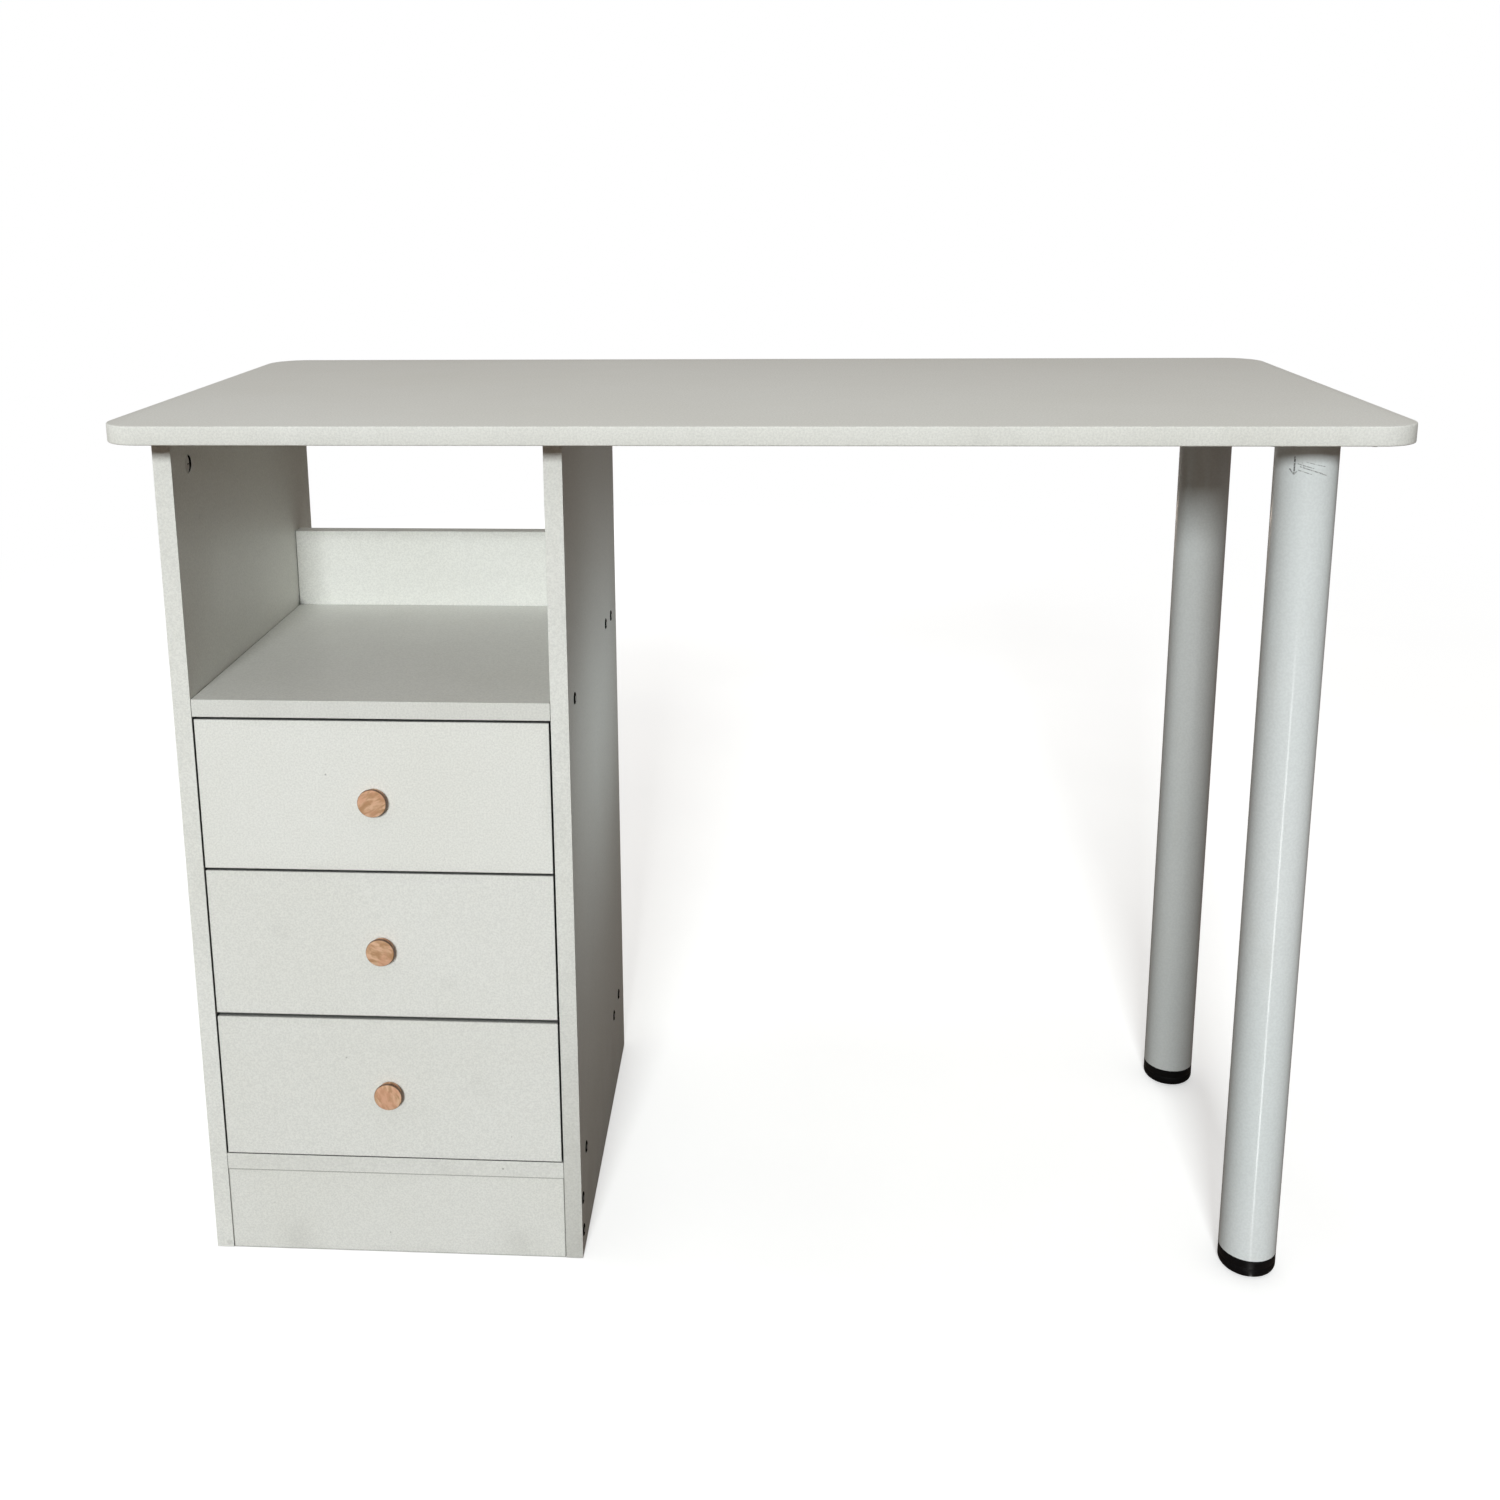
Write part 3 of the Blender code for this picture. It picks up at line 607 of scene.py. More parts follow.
def cross(hollow, arm, power):
    """The outline of a cross recess: its radius for each angle."""
    return lambda angle: hollow + arm * abs(math.cos(2 * angle)) ** power


def piece(name, mesh, finish, body, replaced=(), smooth_angle=40.0, place=None):
    obj = link(name, mesh, finish, smooth_angle)
    if place:
        obj.matrix_world = place
    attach(obj, body)
    if replaced:
        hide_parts(*replaced)
    return obj


# ---- Finishes of the CAD pieces that stay ----
DRAWERS = ("upper", "middle", "lower")
DRAWER_BOARD = drawer_board_material()
HARDBOARD = hardboard_material()
COAT = coat_material("Powder_coat")
PLASTIC = plastic_material()
ZINC_PLATE = zinc_material()
CAST_ZINC = cast_material()
SCREW_ZINC = screw_material()

# Marks on the boards: (across, up, radius, strength), as seen from the front.
BOARD_SPOTS = {
    "upper_drawer_front": ((-0.350, 0.4505, 0.0009, 0.5),),
    "lower_drawer_front": ((-0.347, 0.1905, 0.0010, 0.45), (-0.205, 0.118, 0.0007, 0.4)),
    "kick_board": ((-0.317, 0.0194, 0.0009, 0.45), (-0.420, 0.046, 0.0007, 0.35)),
    "bottom_panel": ((-0.2136, 0.0865, 0.0011, 0.5),),
    "left_side_panel": ((-0.464, 0.0047, 0.0032, 0.18),),
}
BOARD_SMUDGES_AND_PAINTED_SHADE = {
    "middle_drawer_front": ((-0.3956, 0.3107, 0.016, 0.16), (-0.255, 0.262, 0.012, 0.07)),
    "lower_drawer_front": ((-0.230, 0.165, 0.018, 0.08),),
    "kick_board": ((-0.40, 0.012, 0.030, 0.14), (-0.20, 0.010, 0.035, 0.12)),
    # Painted shade: the right panel made darker towards the bottom, in a soft patch.
    "right_side_panel": ((-0.1525, 0.03, 0.12, 0.10),),
}
# Dust along the joints round a board, and painted shade on its edges, darker towards the bottom.
BOARD_JOINTS = {"kick_board": 0.60}
BOARD_PAINTED_EDGE_SHADE = {"right_side_panel": 0.27}
# Painted light and shade: each board's white is scaled to stand for how much light reaches it, greyer in
# shade and whiter where lit.
BOARD_PAINTED_LIGHT_TONES = {
    "desktop": 0.980,
    "shelf": 0.940,
    "left_side_panel": 1.020,
    "kick_board": 0.975,
    "bottom_panel": 0.965,
    "lower_drawer_front": 0.985,
    "upper_drawer_front": 1.035,
}


def finish_board(node):
    low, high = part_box(node)
    return board_material(
        f"Melamine_{node}",
        low,
        high,
        painted_light_tone=BOARD_PAINTED_LIGHT_TONES.get(node, 1.0),
        spots=BOARD_SPOTS.get(node, ()),
        smudges_and_painted_shade=BOARD_SMUDGES_AND_PAINTED_SHADE.get(node, ()),
        joint=BOARD_JOINTS.get(node, 0.0),
        painted_edge_shade=BOARD_PAINTED_EDGE_SHADE.get(node, 0.0),
    )


def soften_edges(obj, width):
    """Joins the imported faces, so that a bevel can round the board's sharp edges."""
    weld = obj.modifiers.new("Join faces", "WELD")
    weld.merge_threshold = SAME_POINT
    bevel = obj.modifiers.new("Rounded edges", "BEVEL")
    bevel.width = width
    bevel.segments = 2
    bevel.limit_method = "ANGLE"
    bevel.angle_limit = math.radians(BEVEL_ANGLE)
    bevel.use_clamp_overlap = True


def dress_cad_node(node, finish, rounding=0.0):
    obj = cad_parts[node]
    if not obj.material_slots:
        obj.data.materials.append(finish)
    for slot in obj.material_slots:
        slot.material = finish
    if rounding:
        soften_edges(obj, rounding)
    return obj


BOARDS = ["left_side_panel", "right_side_panel", "shelf", "bottom_panel", "kick_board", "back_panel"]
BOARDS += [f"{drawer}_drawer_front" for drawer in DRAWERS]
for board in BOARDS:
    dress_cad_node(board, finish_board(board), BOARD_EDGE_ROUNDING)
for drawer in DRAWERS:
    for part in ("left_side", "right_side", "back"):
        dress_cad_node(f"{drawer}_drawer_{part}", DRAWER_BOARD, BOARD_EDGE_ROUNDING)
    dress_cad_node(f"{drawer}_drawer_bottom", HARDBOARD)
    for hand in ("left", "right"):
        dress_cad_node(f"{drawer}_drawer_{hand}_cabinet_runner", COAT)
        dress_cad_node(f"{drawer}_drawer_{hand}_drawer_runner", COAT)
for end in ("front", "rear"):
    dress_cad_node(f"{end}_leg_plate", COAT, PLATE_EDGE_ROUNDING)


# ---- Desktop ----
def build_desktop():
    """The top, with finer corners and eased edges than the CAD solid."""
    low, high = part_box("desktop")
    outline = []
    for cx, cy, start in ((1, 1, 0), (-1, 1, 90), (-1, -1, 180), (1, -1, 270)):
        for i in range(TOP_CORNER_STEPS + 1):
            outline.append((cx, cy, math.radians(start + 90 * i / TOP_CORNER_STEPS)))
    half_x, half_y = (high.x - low.x) / 2, (high.y - low.y) / 2
    levels = []
    for i in range(TOP_EDGE_STEPS + 1):
        turn = math.pi / 2 * i / TOP_EDGE_STEPS
        inset = TOP_EDGE_ROUNDING * (1 - math.sin(turn))
        levels.append((inset, low.z + TOP_EDGE_ROUNDING * (1 - math.cos(turn))))
    levels += [(inset, low.z + high.z - height) for inset, height in reversed(levels)]
    bm = bmesh.new()
    rings = []
    for inset, height in levels:
        radius = TOP_CORNER_RADIUS - inset
        ring = []
        for cx, cy, angle in outline:
            x = cx * (half_x - TOP_CORNER_RADIUS) + radius * math.cos(angle)
            y = cy * (half_y - TOP_CORNER_RADIUS) + radius * math.sin(angle)
            ring.append(bm.verts.new((x, y, height)))
        rings.append(ring)
    for lower, upper in zip(rings, rings[1:]):
        for i in range(len(outline)):
            j = (i + 1) % len(outline)
            bm.faces.new((lower[i], lower[j], upper[j], upper[i]))
    bm.faces.new(list(reversed(rings[0])))
    bm.faces.new(rings[-1])
    painted_light_tone = BOARD_PAINTED_LIGHT_TONES["desktop"]
    finish = board_material("Melamine_desktop", low, high, TOP_CORNER_RADIUS, painted_light_tone, backing=BACKING_PAPER)
    mesh = to_mesh("desktop_board", bm)
    piece("desktop_board", mesh, finish, "desk", ["desktop"], 30.0)


build_desktop()


# ---- Legs ----
# Scratches below the top on the front leg: (start, end, width, strength), as seen from the front.
LEG_SCRATCHES = (
    ((0.4213, 0.7180), (0.4212, 0.7045), 0.00070, 1.00),
    ((0.4212, 0.7045), (0.4187, 0.7082), 0.00065, 0.90),
    ((0.4212, 0.7045), (0.4228, 0.7068), 0.00055, 0.80),
    ((0.4235, 0.7128), (0.4345, 0.7098), 0.00050, 0.70),
    ((0.4250, 0.7108), (0.4410, 0.7058), 0.00055, 0.78),
    ((0.4240, 0.7080), (0.4330, 0.7052), 0.00048, 0.65),
    ((0.4290, 0.7146), (0.4430, 0.7112), 0.00044, 0.60),
    ((0.4360, 0.7072), (0.4450, 0.7042), 0.00044, 0.58),
    ((0.4262, 0.7138), (0.4275, 0.7096), 0.00040, 0.50),
)


def tube_rings(radius, low, high):
    """A leg tube's wall, with eased edges at both ends."""
    inner = radius - TUBE_WALL
    edge = TUBE_EDGE
    rings = [(radius - edge, high), (radius, high - edge), (radius, low + edge), (radius - edge, low)]
    return rings + [(inner + edge, low), (inner, low + edge), (inner, high - edge), (inner + edge, high)]


def foot_rings(radius, tube_low, top):
    """A push-in foot: a ribbed plug, then a cap with a fine groove, a rounded edge and a hollow middle."""
    plug = radius - TUBE_WALL - FOOT_GAP
    shoulder = tube_low - FOOT_GAP
    rings = [(0.0, top), (plug - FOOT_CHAMFER, top), (plug, top - FOOT_CHAMFER)]
    for i in range(RIBS):
        rib = top - 0.004 - i * RIB_PITCH
        rings += [(plug, rib), (plug - RIB_DEPTH, rib - 0.0006)]
        rings += [(plug - RIB_DEPTH, rib - 0.0024), (plug, rib - 0.0030)]
    rings += [(plug, shoulder), (radius - FOOT_RIM, shoulder), (radius, shoulder - FOOT_RIM)]
    groove = FOOT_ROUNDING + FOOT_GROOVE_HEIGHT
    rings += [(radius, groove + FOOT_GROOVE_HALF_WIDTH), (radius - FOOT_GROOVE_DEPTH, groove)]
    rings += [(radius, groove - FOOT_GROOVE_HALF_WIDTH)]
    rings += arc((radius - FOOT_ROUNDING, FOOT_ROUNDING), FOOT_ROUNDING, 0, -80, 10)
    rings += [(radius * 0.62, 0.0), (radius * 0.60, FOOT_HOLLOW * 0.8)]
    return rings + [(radius * 0.30, FOOT_HOLLOW), (0.0, FOOT_HOLLOW)]


def weld_rings(radius, top):
    """The bead between the tube and its plate."""
    reach = WELD_REACH
    rings = [(radius + WELD_GAP, top), (radius + reach, top), (radius + reach * 0.75, top - reach * 0.35)]
    return rings + [(radius + reach * 0.35, top - reach * 0.75), (radius + WELD_GAP, top - reach)]


def pan_head_rings():
    edge = PLATE_SCREW_ROUNDING
    rings = [(0.0, 0.0011), (0.0009, 0.0012), (0.0011, 0.0024), (0.0016, 0.0025)]
    rings += arc((PLATE_SCREW_RADIUS - edge, 0.0009), edge, 80, 0, 5)
    return rings + [(PLATE_SCREW_RADIUS, 0.0001), (0.0, 0.0001)]


def build_leg(end, coat):
    low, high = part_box(f"{end}_leg_tube")
    radius = (high.x - low.x) / 2
    middle = Matrix.Translation(((low.x + high.x) / 2, (low.y + high.y) / 2, 0.0))
    mesh = turned_mesh(f"{end}_leg", tube_rings(radius, low.z, high.z), 128, [middle], closed=True)
    piece(f"{end}_leg", mesh, coat, "desk", [f"{end}_leg_tube"], 35.0)

    foot_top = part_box(f"{end}_foot")[1].z
    mesh = turned_mesh(f"{end}_foot_cap", foot_rings(radius, low.z, foot_top), 96, [middle])
    piece(f"{end}_foot_cap", mesh, PLASTIC, "desk", [f"{end}_foot"], 40.0)

    plate_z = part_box(f"{end}_leg_plate")[0].z
    mesh = turned_mesh(f"{end}_leg_weld", weld_rings(radius, plate_z), 96, [middle], closed=True)
    piece(f"{end}_leg_weld", mesh, coat, "desk")

    spots = []
    for side_x in (-1, 1):
        for side_y in (-1, 1):
            off = Vector((side_x * PLATE_SCREW_SPACING, side_y * PLATE_SCREW_SPACING, plate_z))
            spots.append(facing(middle.to_translation() + off, (0, 0, -1)))
    mesh = turned_mesh(f"{end}_leg_plate_screws", pan_head_rings(), 24, spots)
    piece(f"{end}_leg_plate_screws", mesh, ZINC_PLATE, "desk")


# Painted light on the front leg's coat, whiter, and painted shade on the rear leg's, darker.
FRONT_LEG_PAINTED_LIGHT = (1.03, 1.03, 1.03)
REAR_LEG_PAINTED_SHADE = (0.950, 0.940, 0.930)
build_leg("front", coat_material("Powder_coat_front_leg", LEG_SCRATCHES, FRONT_LEG_PAINTED_LIGHT))
build_leg("rear", coat_material("Powder_coat_rear_leg", painted_light_tone=REAR_LEG_PAINTED_SHADE, painted_foot_shade=0.17))


# ---- Knobs ----
def knob_rings(radius, depth):
    """A round head with a nearly flat face, a hollowed neck and a smaller foot against the drawer front."""
    edge = KNOB_EDGE
    head_back = depth - KNOB_HEAD_THICKNESS
    foot = KNOB_FOOT_RADIUS
    foot_top = KNOB_FOOT_THICKNESS
    sweep = (head_back - foot_top) / 2
    rings = [(0.0, depth), (radius * 0.35, depth - 0.00003), (radius * 0.7, depth - 0.00013)]
    rings += arc((radius - edge, depth - 0.0003 - edge), edge, 82, 0, 6)
    rings += arc((radius - edge, head_back + edge), edge, 0, -90, 6)
    rings += arc((KNOB_NECK_RADIUS + sweep, foot_top + sweep), sweep, 90, 270, 14)
    rings += arc((foot - edge, foot_top - edge), edge, 90, 0, 6)
    return rings + [(foot, KNOB_FOOT_CHAMFER), (foot - KNOB_FOOT_CHAMFER, 0.0), (0.0, 0.0)]


def bolt_rings(reach, head, height):
    """A knob's machine screw, measured from the drawer front's back: from -reach up to height."""
    r, core = BOLT_RADIUS, BOLT_CORE_RADIUS
    rings = [(0.0, -reach), (core, -reach), (r, -reach + 0.0005)]
    for i in range(BOLT_THREADS):
        at = -reach + 0.001 + i * BOLT_PITCH
        rings += [(r, at), (core, at + BOLT_PITCH / 2)]
    rings += [(r, -reach + 0.0068), (r, BOLT_HEAD_GAP), (head, BOLT_HEAD_GAP), (head, 0.0011)]
    rings += arc((head - BOLT_HEAD_ROUNDING, height - BOLT_HEAD_ROUNDING), BOLT_HEAD_ROUNDING, 10, 80, 5)
    rings += [(cross(0.0009, 0.0009, 6), height), (cross(0.0007, 0.0007, 6), height - 0.0014)]
    return rings + [(0.0, height - 0.0016)]


def build_knob(drawer, tilt):
    body = f"{drawer}_drawer"
    low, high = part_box(f"{body}_knob")
    centre = Vector(((low.x + high.x) / 2, high.y, (low.z + high.z) / 2))
    rings = knob_rings((high.x - low.x) / 2, high.y - low.y)
    mesh = turned_mesh(f"{drawer}_knob_wood", rings, 96, [facing(centre, (0, -1, 0))])
    finish = knob_material(f"Turned_beech_{drawer}", centre, tilt)
    piece(f"{drawer}_knob_turned", mesh, finish, body, [f"{body}_knob"], 40.0)

    low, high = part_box(f"{body}_knob_screw")
    front_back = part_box(f"{body}_front")[1].y
    rings = bolt_rings(front_back - low.y, (high.x - low.x) / 2, high.y - front_back)
    place = facing((centre.x, front_back, centre.z), (0, 1, 0))
    mesh = turned_mesh(f"{drawer}_knob_machine_screw", rings, 48, [place])
    piece(f"{drawer}_knob_machine_screw", mesh, ZINC_PLATE, body, [f"{body}_knob_screw"])


for drawer, tilt in zip(DRAWERS, (0.5, -0.35, 1.9)):
    build_knob(drawer, tilt)


# ---- Screws and cam locks ----
def side_screw_rings():
    """A countersunk furniture screw with a hexagonal socket and a ridged shank, pointing down its axis."""
    head, core = SCREW_HEAD_RADIUS, SCREW_CORE_RADIUS
    rings = [(0.0, -0.0022), (hexagon, -0.0020), (hexagon, 0.0006), (lambda a: hexagon(a) + 0.0002, 0.0008)]
    rings += [(0.0027, 0.0010), (0.0038, 0.0009), (head, 0.0007)]
    rings += [(SCREW_RIM_RADIUS, 0.0003), (SCREW_RIM_RADIUS, 0.0001), (head, 0.0), (head, SCREW_HEAD_SIDE)]
    rings += [(SCREW_NECK_RADIUS, SCREW_NECK_TOP), (SCREW_NECK_RADIUS, SCREW_SHANK_TOP + 0.0012)]
    for i in range(SCREW_RIDGES):
        at = SCREW_SHANK_TOP - i * SCREW_RIDGE_PITCH
        rings += [(core, at), (core, at - 0.0012), (SCREW_RIDGE_RADIUS, at - 0.0020), (core, at - 0.0027)]
    return rings + [(0.0019, -SCREW_LENGTH + 0.001), (0.0, -SCREW_LENGTH)]


def screw_hole_rings():
    """What is cut out of the boards for such a screw, a little larger than it all round."""
    grow = SCREW_HOLE_CLEARANCE
    head, neck, ridge = SCREW_HEAD_RADIUS + grow, SCREW_NECK_RADIUS + grow, SCREW_RIDGE_RADIUS + grow
    tip = -SCREW_LENGTH - grow
    rings = [(0.0, 0.001), (head, 0.001), (head, SCREW_HEAD_SIDE), (neck, SCREW_NECK_TOP)]
    return rings + [(neck, SCREW_SHANK_TOP + 0.0010), (ridge, SCREW_SHANK_TOP), (ridge, tip), (0.0, tip)]


RIGHT_SCREWS = ["shelf_screw_front", "shelf_screw_rear", "bottom_screw_front", "bottom_screw_rear"]
RIGHT_SCREWS += ["kick_screw_lower", "kick_screw_upper", "back_screw_lower", "back_screw_upper"]
DRILLED_BOARDS = ("left_side_panel", "shelf", "bottom_panel", "kick_board", "back_panel")


def build_side_screws():
    """The right panel's screws in place of the CAD ones, and the same in holes through the left panel."""
    left_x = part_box("left_side_panel")[0].x
    right_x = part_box("right_side_panel")[1].x
    left_spots = []
    for name in RIGHT_SCREWS:
        low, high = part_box(name)
        y, z = (low.y + high.y) / 2, (low.z + high.z) / 2
        left_spots.append(facing((left_x, y, z), (-1, 0, 0)))
        mesh = turned_mesh(f"{name}_detailed", side_screw_rings(), 48, [Matrix.Identity(4)])
        place = facing((right_x, y, z), (1, 0, 0))
        piece(f"{name}_detailed", mesh, SCREW_ZINC, "desk", [name], place=place)
        mesh = turned_mesh(f"left_{name}", side_screw_rings(), 48, [Matrix.Identity(4)])
        piece(f"left_{name}", mesh, SCREW_ZINC, "desk", place=left_spots[-1])

    holes = turned_mesh("left_screw_holes", screw_hole_rings(), 24, left_spots)
    cutter = link("left_screw_holes", holes, ZINC_PLATE)
    cutter.hide_render = True
    cutter.hide_viewport = True
    for node in DRILLED_BOARDS:
        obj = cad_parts[node]
        boolean = obj.modifiers.new("Left screw holes", "BOOLEAN")
        boolean.operation = "DIFFERENCE"
        boolean.object = cutter
        boolean.solver = "EXACT"
        obj.modifiers.move(len(obj.modifiers) - 1, 1)


def cam_rings():
    """A cam lock's round face, with a small cross recess and the deep open crescent on its rear side."""

    def crescent(angle):
        return 0.0071 - 0.0046 * max(0.0, math.cos(angle)) ** 0.7

    def groove(angle):
        return CAM_CRESCENT_FLOOR if math.cos(angle) > 0.05 else -0.0003

    r, low = CAM_RADIUS, -CAM_THICKNESS
    rings = [(0.0, -0.0026), (cross(0.00072, 0.00088, 8), -0.0024), (cross(0.0009, 0.0011, 8), -0.0003)]
    rings += [(0.0020, -0.0002), (lambda a: crescent(a) - 0.0003, -0.0003), (crescent, groove)]
    rings += [(0.0072, groove), (0.00725, CAM_FACE), (r - 0.0001, CAM_FACE), (r, CAM_FACE - 0.0002)]
    return rings + [(r, low + 0.0002), (r - 0.0002, low), (0.0, low)]


def build_cam_locks():
    for hand, direction, face in (("left", 1, 1), ("right", -1, 0)):
        for end in ("front", "rear"):
            node = f"{hand}_{end}_cam_lock"
            low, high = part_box(node)
            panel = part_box(f"{hand}_side_panel")[face]
            y, z = (low.y + high.y) / 2, (low.z + high.z) / 2
            across = Vector((direction, 0, 0))
            rear = Vector((0, 1, 0))
            turn = Matrix((rear, across.cross(rear), across)).transposed().to_4x4()
            place = Matrix.Translation((panel.x, y, z)) @ turn
            mesh = turned_mesh(f"{node}_detailed", cam_rings(), 96, [Matrix.Identity(4)])
            piece(f"{node}_detailed", mesh, CAST_ZINC, "desk", [node], place=place)


build_side_screws()
build_cam_locks()


# ---- Runner rollers and drawer screws ----
def roller_rings(near, far):
    """A nylon roller between two distances from its runner's web, on a rivet that stands on the web."""
    r, edge = ROLLER_RADIUS, ROLLER_EDGE
    rings = [(0.0, far + 0.0006), (0.0017, far + 0.0005), (RIVET_RADIUS, far + 0.0001), (RIVET_RADIUS, far)]
    rings += arc((r - edge, far - edge), edge, 90, 0, 3) + arc((r - edge, near + edge), edge, 0, -90, 3)
    return rings + [(AXLE_RADIUS, near), (AXLE_RADIUS, 0.0001), (0.0, 0.0001)]


def screw_cap_rings():
    recess = cross(0.0006, 0.0011, 6)
    rings = [(0.0, 0.0001), (recess, 0.0002), (recess, 0.0011)]
    return rings + arc((0.0018, 0.0001), 0.0011, 80, 10, 4) + [(0.0030, 0.00005), (0.0, 0.00005)]


def build_runner_parts(drawer):
    """The rollers of a drawer's runners, the cabinet runners' screws and the drawer's corner screws."""
    body = f"{drawer}_drawer"
    rise = ROLLER_RADIUS + ROLLER_GAP
    corner_places = []
    for hand, inward in (("left", 1), ("right", -1)):
        low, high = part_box(f"{body}_{hand}_cabinet_runner")
        web = (low.x if inward > 0 else high.x) + inward * RUNNER_SHEET
        drawer_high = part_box(f"{body}_{hand}_drawer_runner")[1]
        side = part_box(f"{body}_{hand}_side")
        side_x = side[0 if inward > 0 else 1].x
        drawer_web = side_x - inward * (RUNNER_GAP + RUNNER_SHEET)

        spot = (web, low.y + ROLLER_SETBACK, drawer_high.z - RUNNER_SHEET - rise)
        place = facing(spot, (inward, 0, 0))
        mesh = turned_mesh(f"{body}_{hand}_front_roller", roller_rings(*FRONT_ROLLER), 48, [place])
        piece(f"{body}_{hand}_front_roller", mesh, PLASTIC, "desk")

        spot = (drawer_web, drawer_high.y - ROLLER_SETBACK, low.z + RUNNER_SHEET + rise)
        place = facing(spot, (-inward, 0, 0))
        mesh = turned_mesh(f"{body}_{hand}_rear_roller", roller_rings(*REAR_ROLLER), 48, [place])
        piece(f"{body}_{hand}_rear_roller", mesh, PLASTIC, body)

        caps = []
        for at in RUNNER_SCREW_PLACES:
            caps.append(facing((web, low.y + at, low.z + RUNNER_SCREW_HEIGHT), (inward, 0, 0)))
        mesh = turned_mesh(f"{body}_{hand}_runner_screws", screw_cap_rings(), 32, caps)
        piece(f"{body}_{hand}_runner_screws", mesh, ZINC_PLATE, "desk")

        rear_y = side[1].y - CORNER_SCREW_SETBACK
        for height in CORNER_SCREW_HEIGHTS:
            corner_places.append(facing((side_x, rear_y, side[0].z + height), (-inward, 0, 0)))
    mesh = turned_mesh(f"{body}_corner_screws", screw_cap_rings(), 32, corner_places)
    piece(f"{body}_corner_screws", mesh, ZINC_PLATE, body)


for drawer in DRAWERS:
    build_runner_parts(drawer)


# ---- Camera ----
CAMERA_PLACE = (0.0337, -1.4168, 0.9306)
CAMERA_PITCH = 0.2206
CAMERA_ROLL = -0.0095
CAMERA_YAW = -0.0629
CAMERA_SENSOR = 36.0
CAMERA_LENS = 38.502
CAMERA_SHIFT = (0.0420, -0.1408)


def build_camera():
    """The photograph's viewpoint: in front of the desk, looking slightly down, with an off-centre frame."""
    pitch, roll = Matrix.Rotation(CAMERA_PITCH, 3, "X"), Matrix.Rotation(CAMERA_ROLL, 3, "Y")
    right, forward, up = (pitch @ roll @ Matrix.Rotation(CAMERA_YAW, 3, "Z")).row
    data = bpy.data.cameras.new("Camera")
    data.sensor_width = CAMERA_SENSOR
    data.lens = CAMERA_LENS
    data.shift_x, data.shift_y = CAMERA_SHIFT
    data.clip_start, data.clip_end = 0.05, 200.0
    camera = bpy.data.objects.new("Camera", data)
    turn = Matrix((right, up, -forward)).transposed().to_4x4()
    camera.matrix_world = Matrix.Translation(CAMERA_PLACE) @ turn
    bpy.context.scene.collection.objects.link(camera)
    bpy.context.scene.camera = camera


# ---- Light and floor ----
WINDOW_PLACE = Vector((-0.56, -9.20, 3.92))
WINDOW_TARGET = Vector((0.0, -0.1, 0.5))
WINDOW_SIZE = (1.75, 1.45)
WINDOW_POWER = 782.0
WINDOW_COLOUR = (0.957, 1.0, 1.012)
SHEEN_POWER = 110.0
SHEEN_COLOUR = (1.0, 1.0, 1.0)
CARD_PLACE = Vector((0.06, 0.02, 0.44))
CARD_SIZE = (0.30, 0.11)
CARD_POWER = 0.222
CARD_COLOUR = (0.90, 1.0, 1.04)
REAR_PLACE = Vector((-0.65, 3.20, 0.22))
REAR_TARGET = Vector((-0.1, 0.2, 0.35))
REAR_SIZE = (0.85, 0.40)
REAR_POWER = 36.0
REAR_COLOUR = (0.97, 1.0, 1.0)
SIDE_PLACE = Vector((-3.00, 0.00, 0.32))
SIDE_TARGET = Vector((-0.475, 0.0, 0.35))
SIDE_SIZE = (0.40, 0.40)
SIDE_POWER = 24.0
SIDE_COLOUR = (0.98, 1.0, 1.0)

ROOM_LOW = 0.042
ROOM_HIGH = 0.535
WALL_COLOUR = (1.09, 1.0, 0.92)
CEILING_COLOUR = (1.03, 1.0, 0.975)
ROOM_BEHIND = 0.34
BEHIND_WAY = (0.15, 0.98, 0.10)
BEHIND_SHARE = 0.3

FLOOR_RADIUS = 60.0
FLOOR_DROP = 0.0004
FLOOR_GLOW = 0.42
FLOOR_FADE = (0.9, 3.2)


def add_lamp(name, place, target, size, power, colour):
    data = bpy.data.lights.new(name, "AREA")
    data.shape = "RECTANGLE"
    data.size, data.size_y = size
    data.energy = power
    data.color = colour
    lamp = bpy.data.objects.new(name, data)
    turn = (target - place).to_track_quat("-Z", "Y").to_matrix().to_4x4()
    lamp.matrix_world = Matrix.Translation(place) @ turn
    lamp.visible_camera = False
    bpy.context.scene.collection.objects.link(lamp)
    return lamp


def build_lights():
    """A far window ahead and high up with its weaker sheen, and lamps that stand for the room.

    They are a card beside the pedestal, and low lamps behind the desk and at its left. No lamp is seen by
    the camera, and only the sheen shows in reflections.
    """
    window = add_lamp("Window", WINDOW_PLACE, WINDOW_TARGET, WINDOW_SIZE, WINDOW_POWER, WINDOW_COLOUR)
    sheen = add_lamp("Window_sheen", WINDOW_PLACE, WINDOW_TARGET, WINDOW_SIZE, SHEEN_POWER, SHEEN_COLOUR)
    card_target = CARD_PLACE - Vector((1.0, 0.0, 0.0))
    card = add_lamp("Card", CARD_PLACE, card_target, CARD_SIZE, CARD_POWER, CARD_COLOUR)
    rear = add_lamp("Rear_wall", REAR_PLACE, REAR_TARGET, REAR_SIZE, REAR_POWER, REAR_COLOUR)
    side = add_lamp("Side_wall", SIDE_PLACE, SIDE_TARGET, SIDE_SIZE, SIDE_POWER, SIDE_COLOUR)
    sheen.visible_diffuse = False
    for lamp in (window, card, rear, side):
        lamp.visible_glossy = False


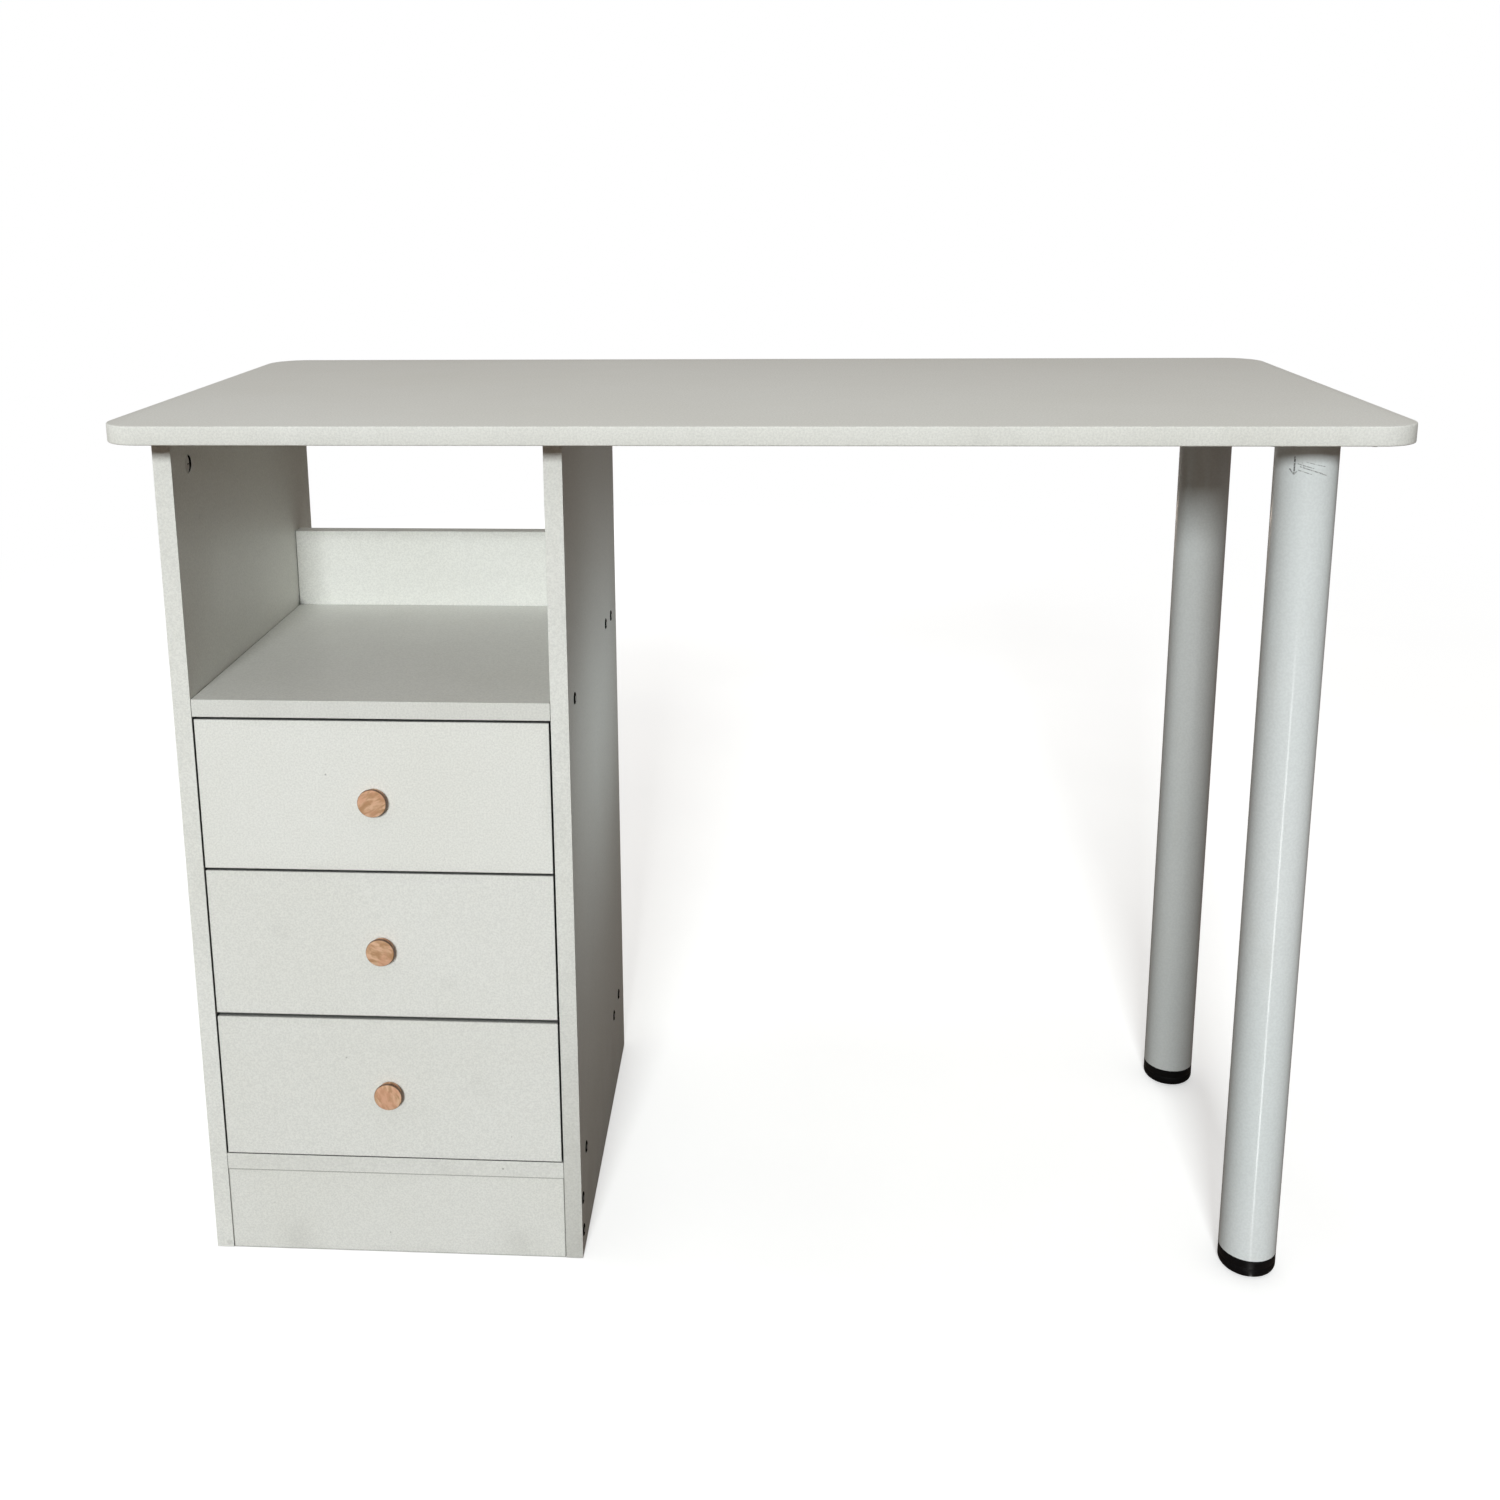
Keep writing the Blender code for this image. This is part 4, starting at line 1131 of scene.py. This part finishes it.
def build_world():
    """A plain room: a pale ceiling over darker, warmer walls. The camera sees a white background."""
    world = bpy.data.worlds.new("Studio")
    bpy.context.scene.world = world
    world.use_nodes = True
    world.node_tree.nodes.clear()
    s = Nodes(world.node_tree)
    way = s.node("TexCoord", {}).outputs["Generated"]
    rays = s.node("LightPath", {}).outputs
    height = s.axes(way)["Z"]
    room = s.ramp(height, 0.30, 0.80, ROOM_LOW, ROOM_HIGH)
    # The wall straight behind the desk is paler. It shows mostly in reflections.
    behind = s.ramp(s.vector("DOT_PRODUCT", way, BEHIND_WAY, "Value"), 0.45, 0.95, 0.0, ROOM_BEHIND)
    share = s.math("MULTIPLY_ADD", rays["Is Glossy Ray"], 1.0 - BEHIND_SHARE, BEHIND_SHARE)
    strength = s.math("MULTIPLY_ADD", behind, share, room)
    high_up = s.node("MapRange", {"Value": height, "From Min": 0.20, "From Max": 0.75}).outputs["Result"]
    colour = s.mix(high_up, WALL_COLOUR, CEILING_COLOUR)
    light = s.node("Background", {"Color": colour, "Strength": strength}).outputs[0]
    seen = s.node("Background", {"Color": (1.0, 1.0, 1.0)}).outputs[0]
    s.node("OutputWorld", {"Surface": s.blend_shaders(rays["Is Camera Ray"], light, seen)})


# A streak of window light on the floor that shows only in reflections, and gives the leg its bright line.
STREAK_START = (0.436, -0.155)
STREAK_TURN = math.radians(3.9)
STREAK_WIDTH = 0.058
STREAK_LIGHT = 6.5


def streak_mask(s):
    """1 on the streak, which widens and then fades with distance, like a window in a polished floor."""
    along_way = (-math.sin(STREAK_TURN), -math.cos(STREAK_TURN), 0.0)
    across_way = (math.cos(STREAK_TURN), -math.sin(STREAK_TURN), 0.0)
    off = s.vector("SUBTRACT", s.place, (*STREAK_START, 0.0))
    along = s.vector("DOT_PRODUCT", off, along_way, "Value")
    across = s.vector("DOT_PRODUCT", off, across_way, "Value")
    slope = s.math("DIVIDE", s.math("ABSOLUTE", across), s.math("MAXIMUM", along, 0.001))
    inside = s.ramp(slope, STREAK_WIDTH * 0.6, STREAK_WIDTH, 1.0, 0.0)
    rise, fall = s.ramp(along, 0.03, 0.25, 0.35, 1.0), s.ramp(along, 0.9, 2.6, 1.0, 0.06)
    return s.times(inside, rise, fall, s.ramp(along, 0.0, 0.02))


def build_floor():
    """A plain pale floor, seen only from above, that fades into the background.

    The camera sees it pale and slightly glowing. The desk gets a darker floor's light, and the streak.
    """
    bm = bmesh.new()
    bmesh.ops.create_circle(bm, cap_ends=True, radius=FLOOR_RADIUS, segments=96)
    mesh = to_mesh("Floor", bm)
    floor = bpy.data.objects.new("Floor", mesh)
    floor.location = (0.0, 0.0, -FLOOR_DROP)
    bpy.context.scene.collection.objects.link(floor)
    s = Shader("Pale_floor")
    rays = s.node("LightPath", {}).outputs
    pale = s.mix(s.ramp(s.noise(3.0, 3.0), 0.35, 0.7), FLOOR_PALE, FLOOR_CLOUD)
    colour = s.mix(rays["Is Camera Ray"], FLOOR_UNSEEN, pale)
    s.finish(Base_Color=colour, Roughness=0.9, Specular_IOR_Level=0.1)
    surface = s.principled.outputs[0]

    glow = s.node("Emission", {"Strength": FLOOR_GLOW}).outputs[0]
    lit = s.node("AddShader", {0: surface, 1: glow}).outputs[0]
    white = s.node("Emission", {}).outputs[0]
    flat = s.vector("MULTIPLY", s.place, (1.0, 1.0, 0.0))
    away = s.vector("LENGTH", flat, result="Value")
    seen = s.blend_shaders(s.ramp(away, *FLOOR_FADE), lit, white)

    streak = s.times(streak_mask(s), rays["Is Glossy Ray"], STREAK_LIGHT)
    streak = s.node("Emission", {"Strength": streak}).outputs[0]
    unseen = s.node("AddShader", {0: surface, 1: streak}).outputs[0]

    shown = s.blend_shaders(rays["Is Camera Ray"], unseen, seen)
    clear = s.node("BsdfTransparent", {}).outputs[0]
    below = s.node("NewGeometry", {}).outputs["Backfacing"]
    s.put(s.tree.nodes["Material Output"].inputs["Surface"], s.blend_shaders(below, shown, clear))
    mesh.materials.append(s.material)


build_camera()
build_lights()
build_world()
build_floor()
bpy.context.scene.view_settings.view_transform = "Standard"
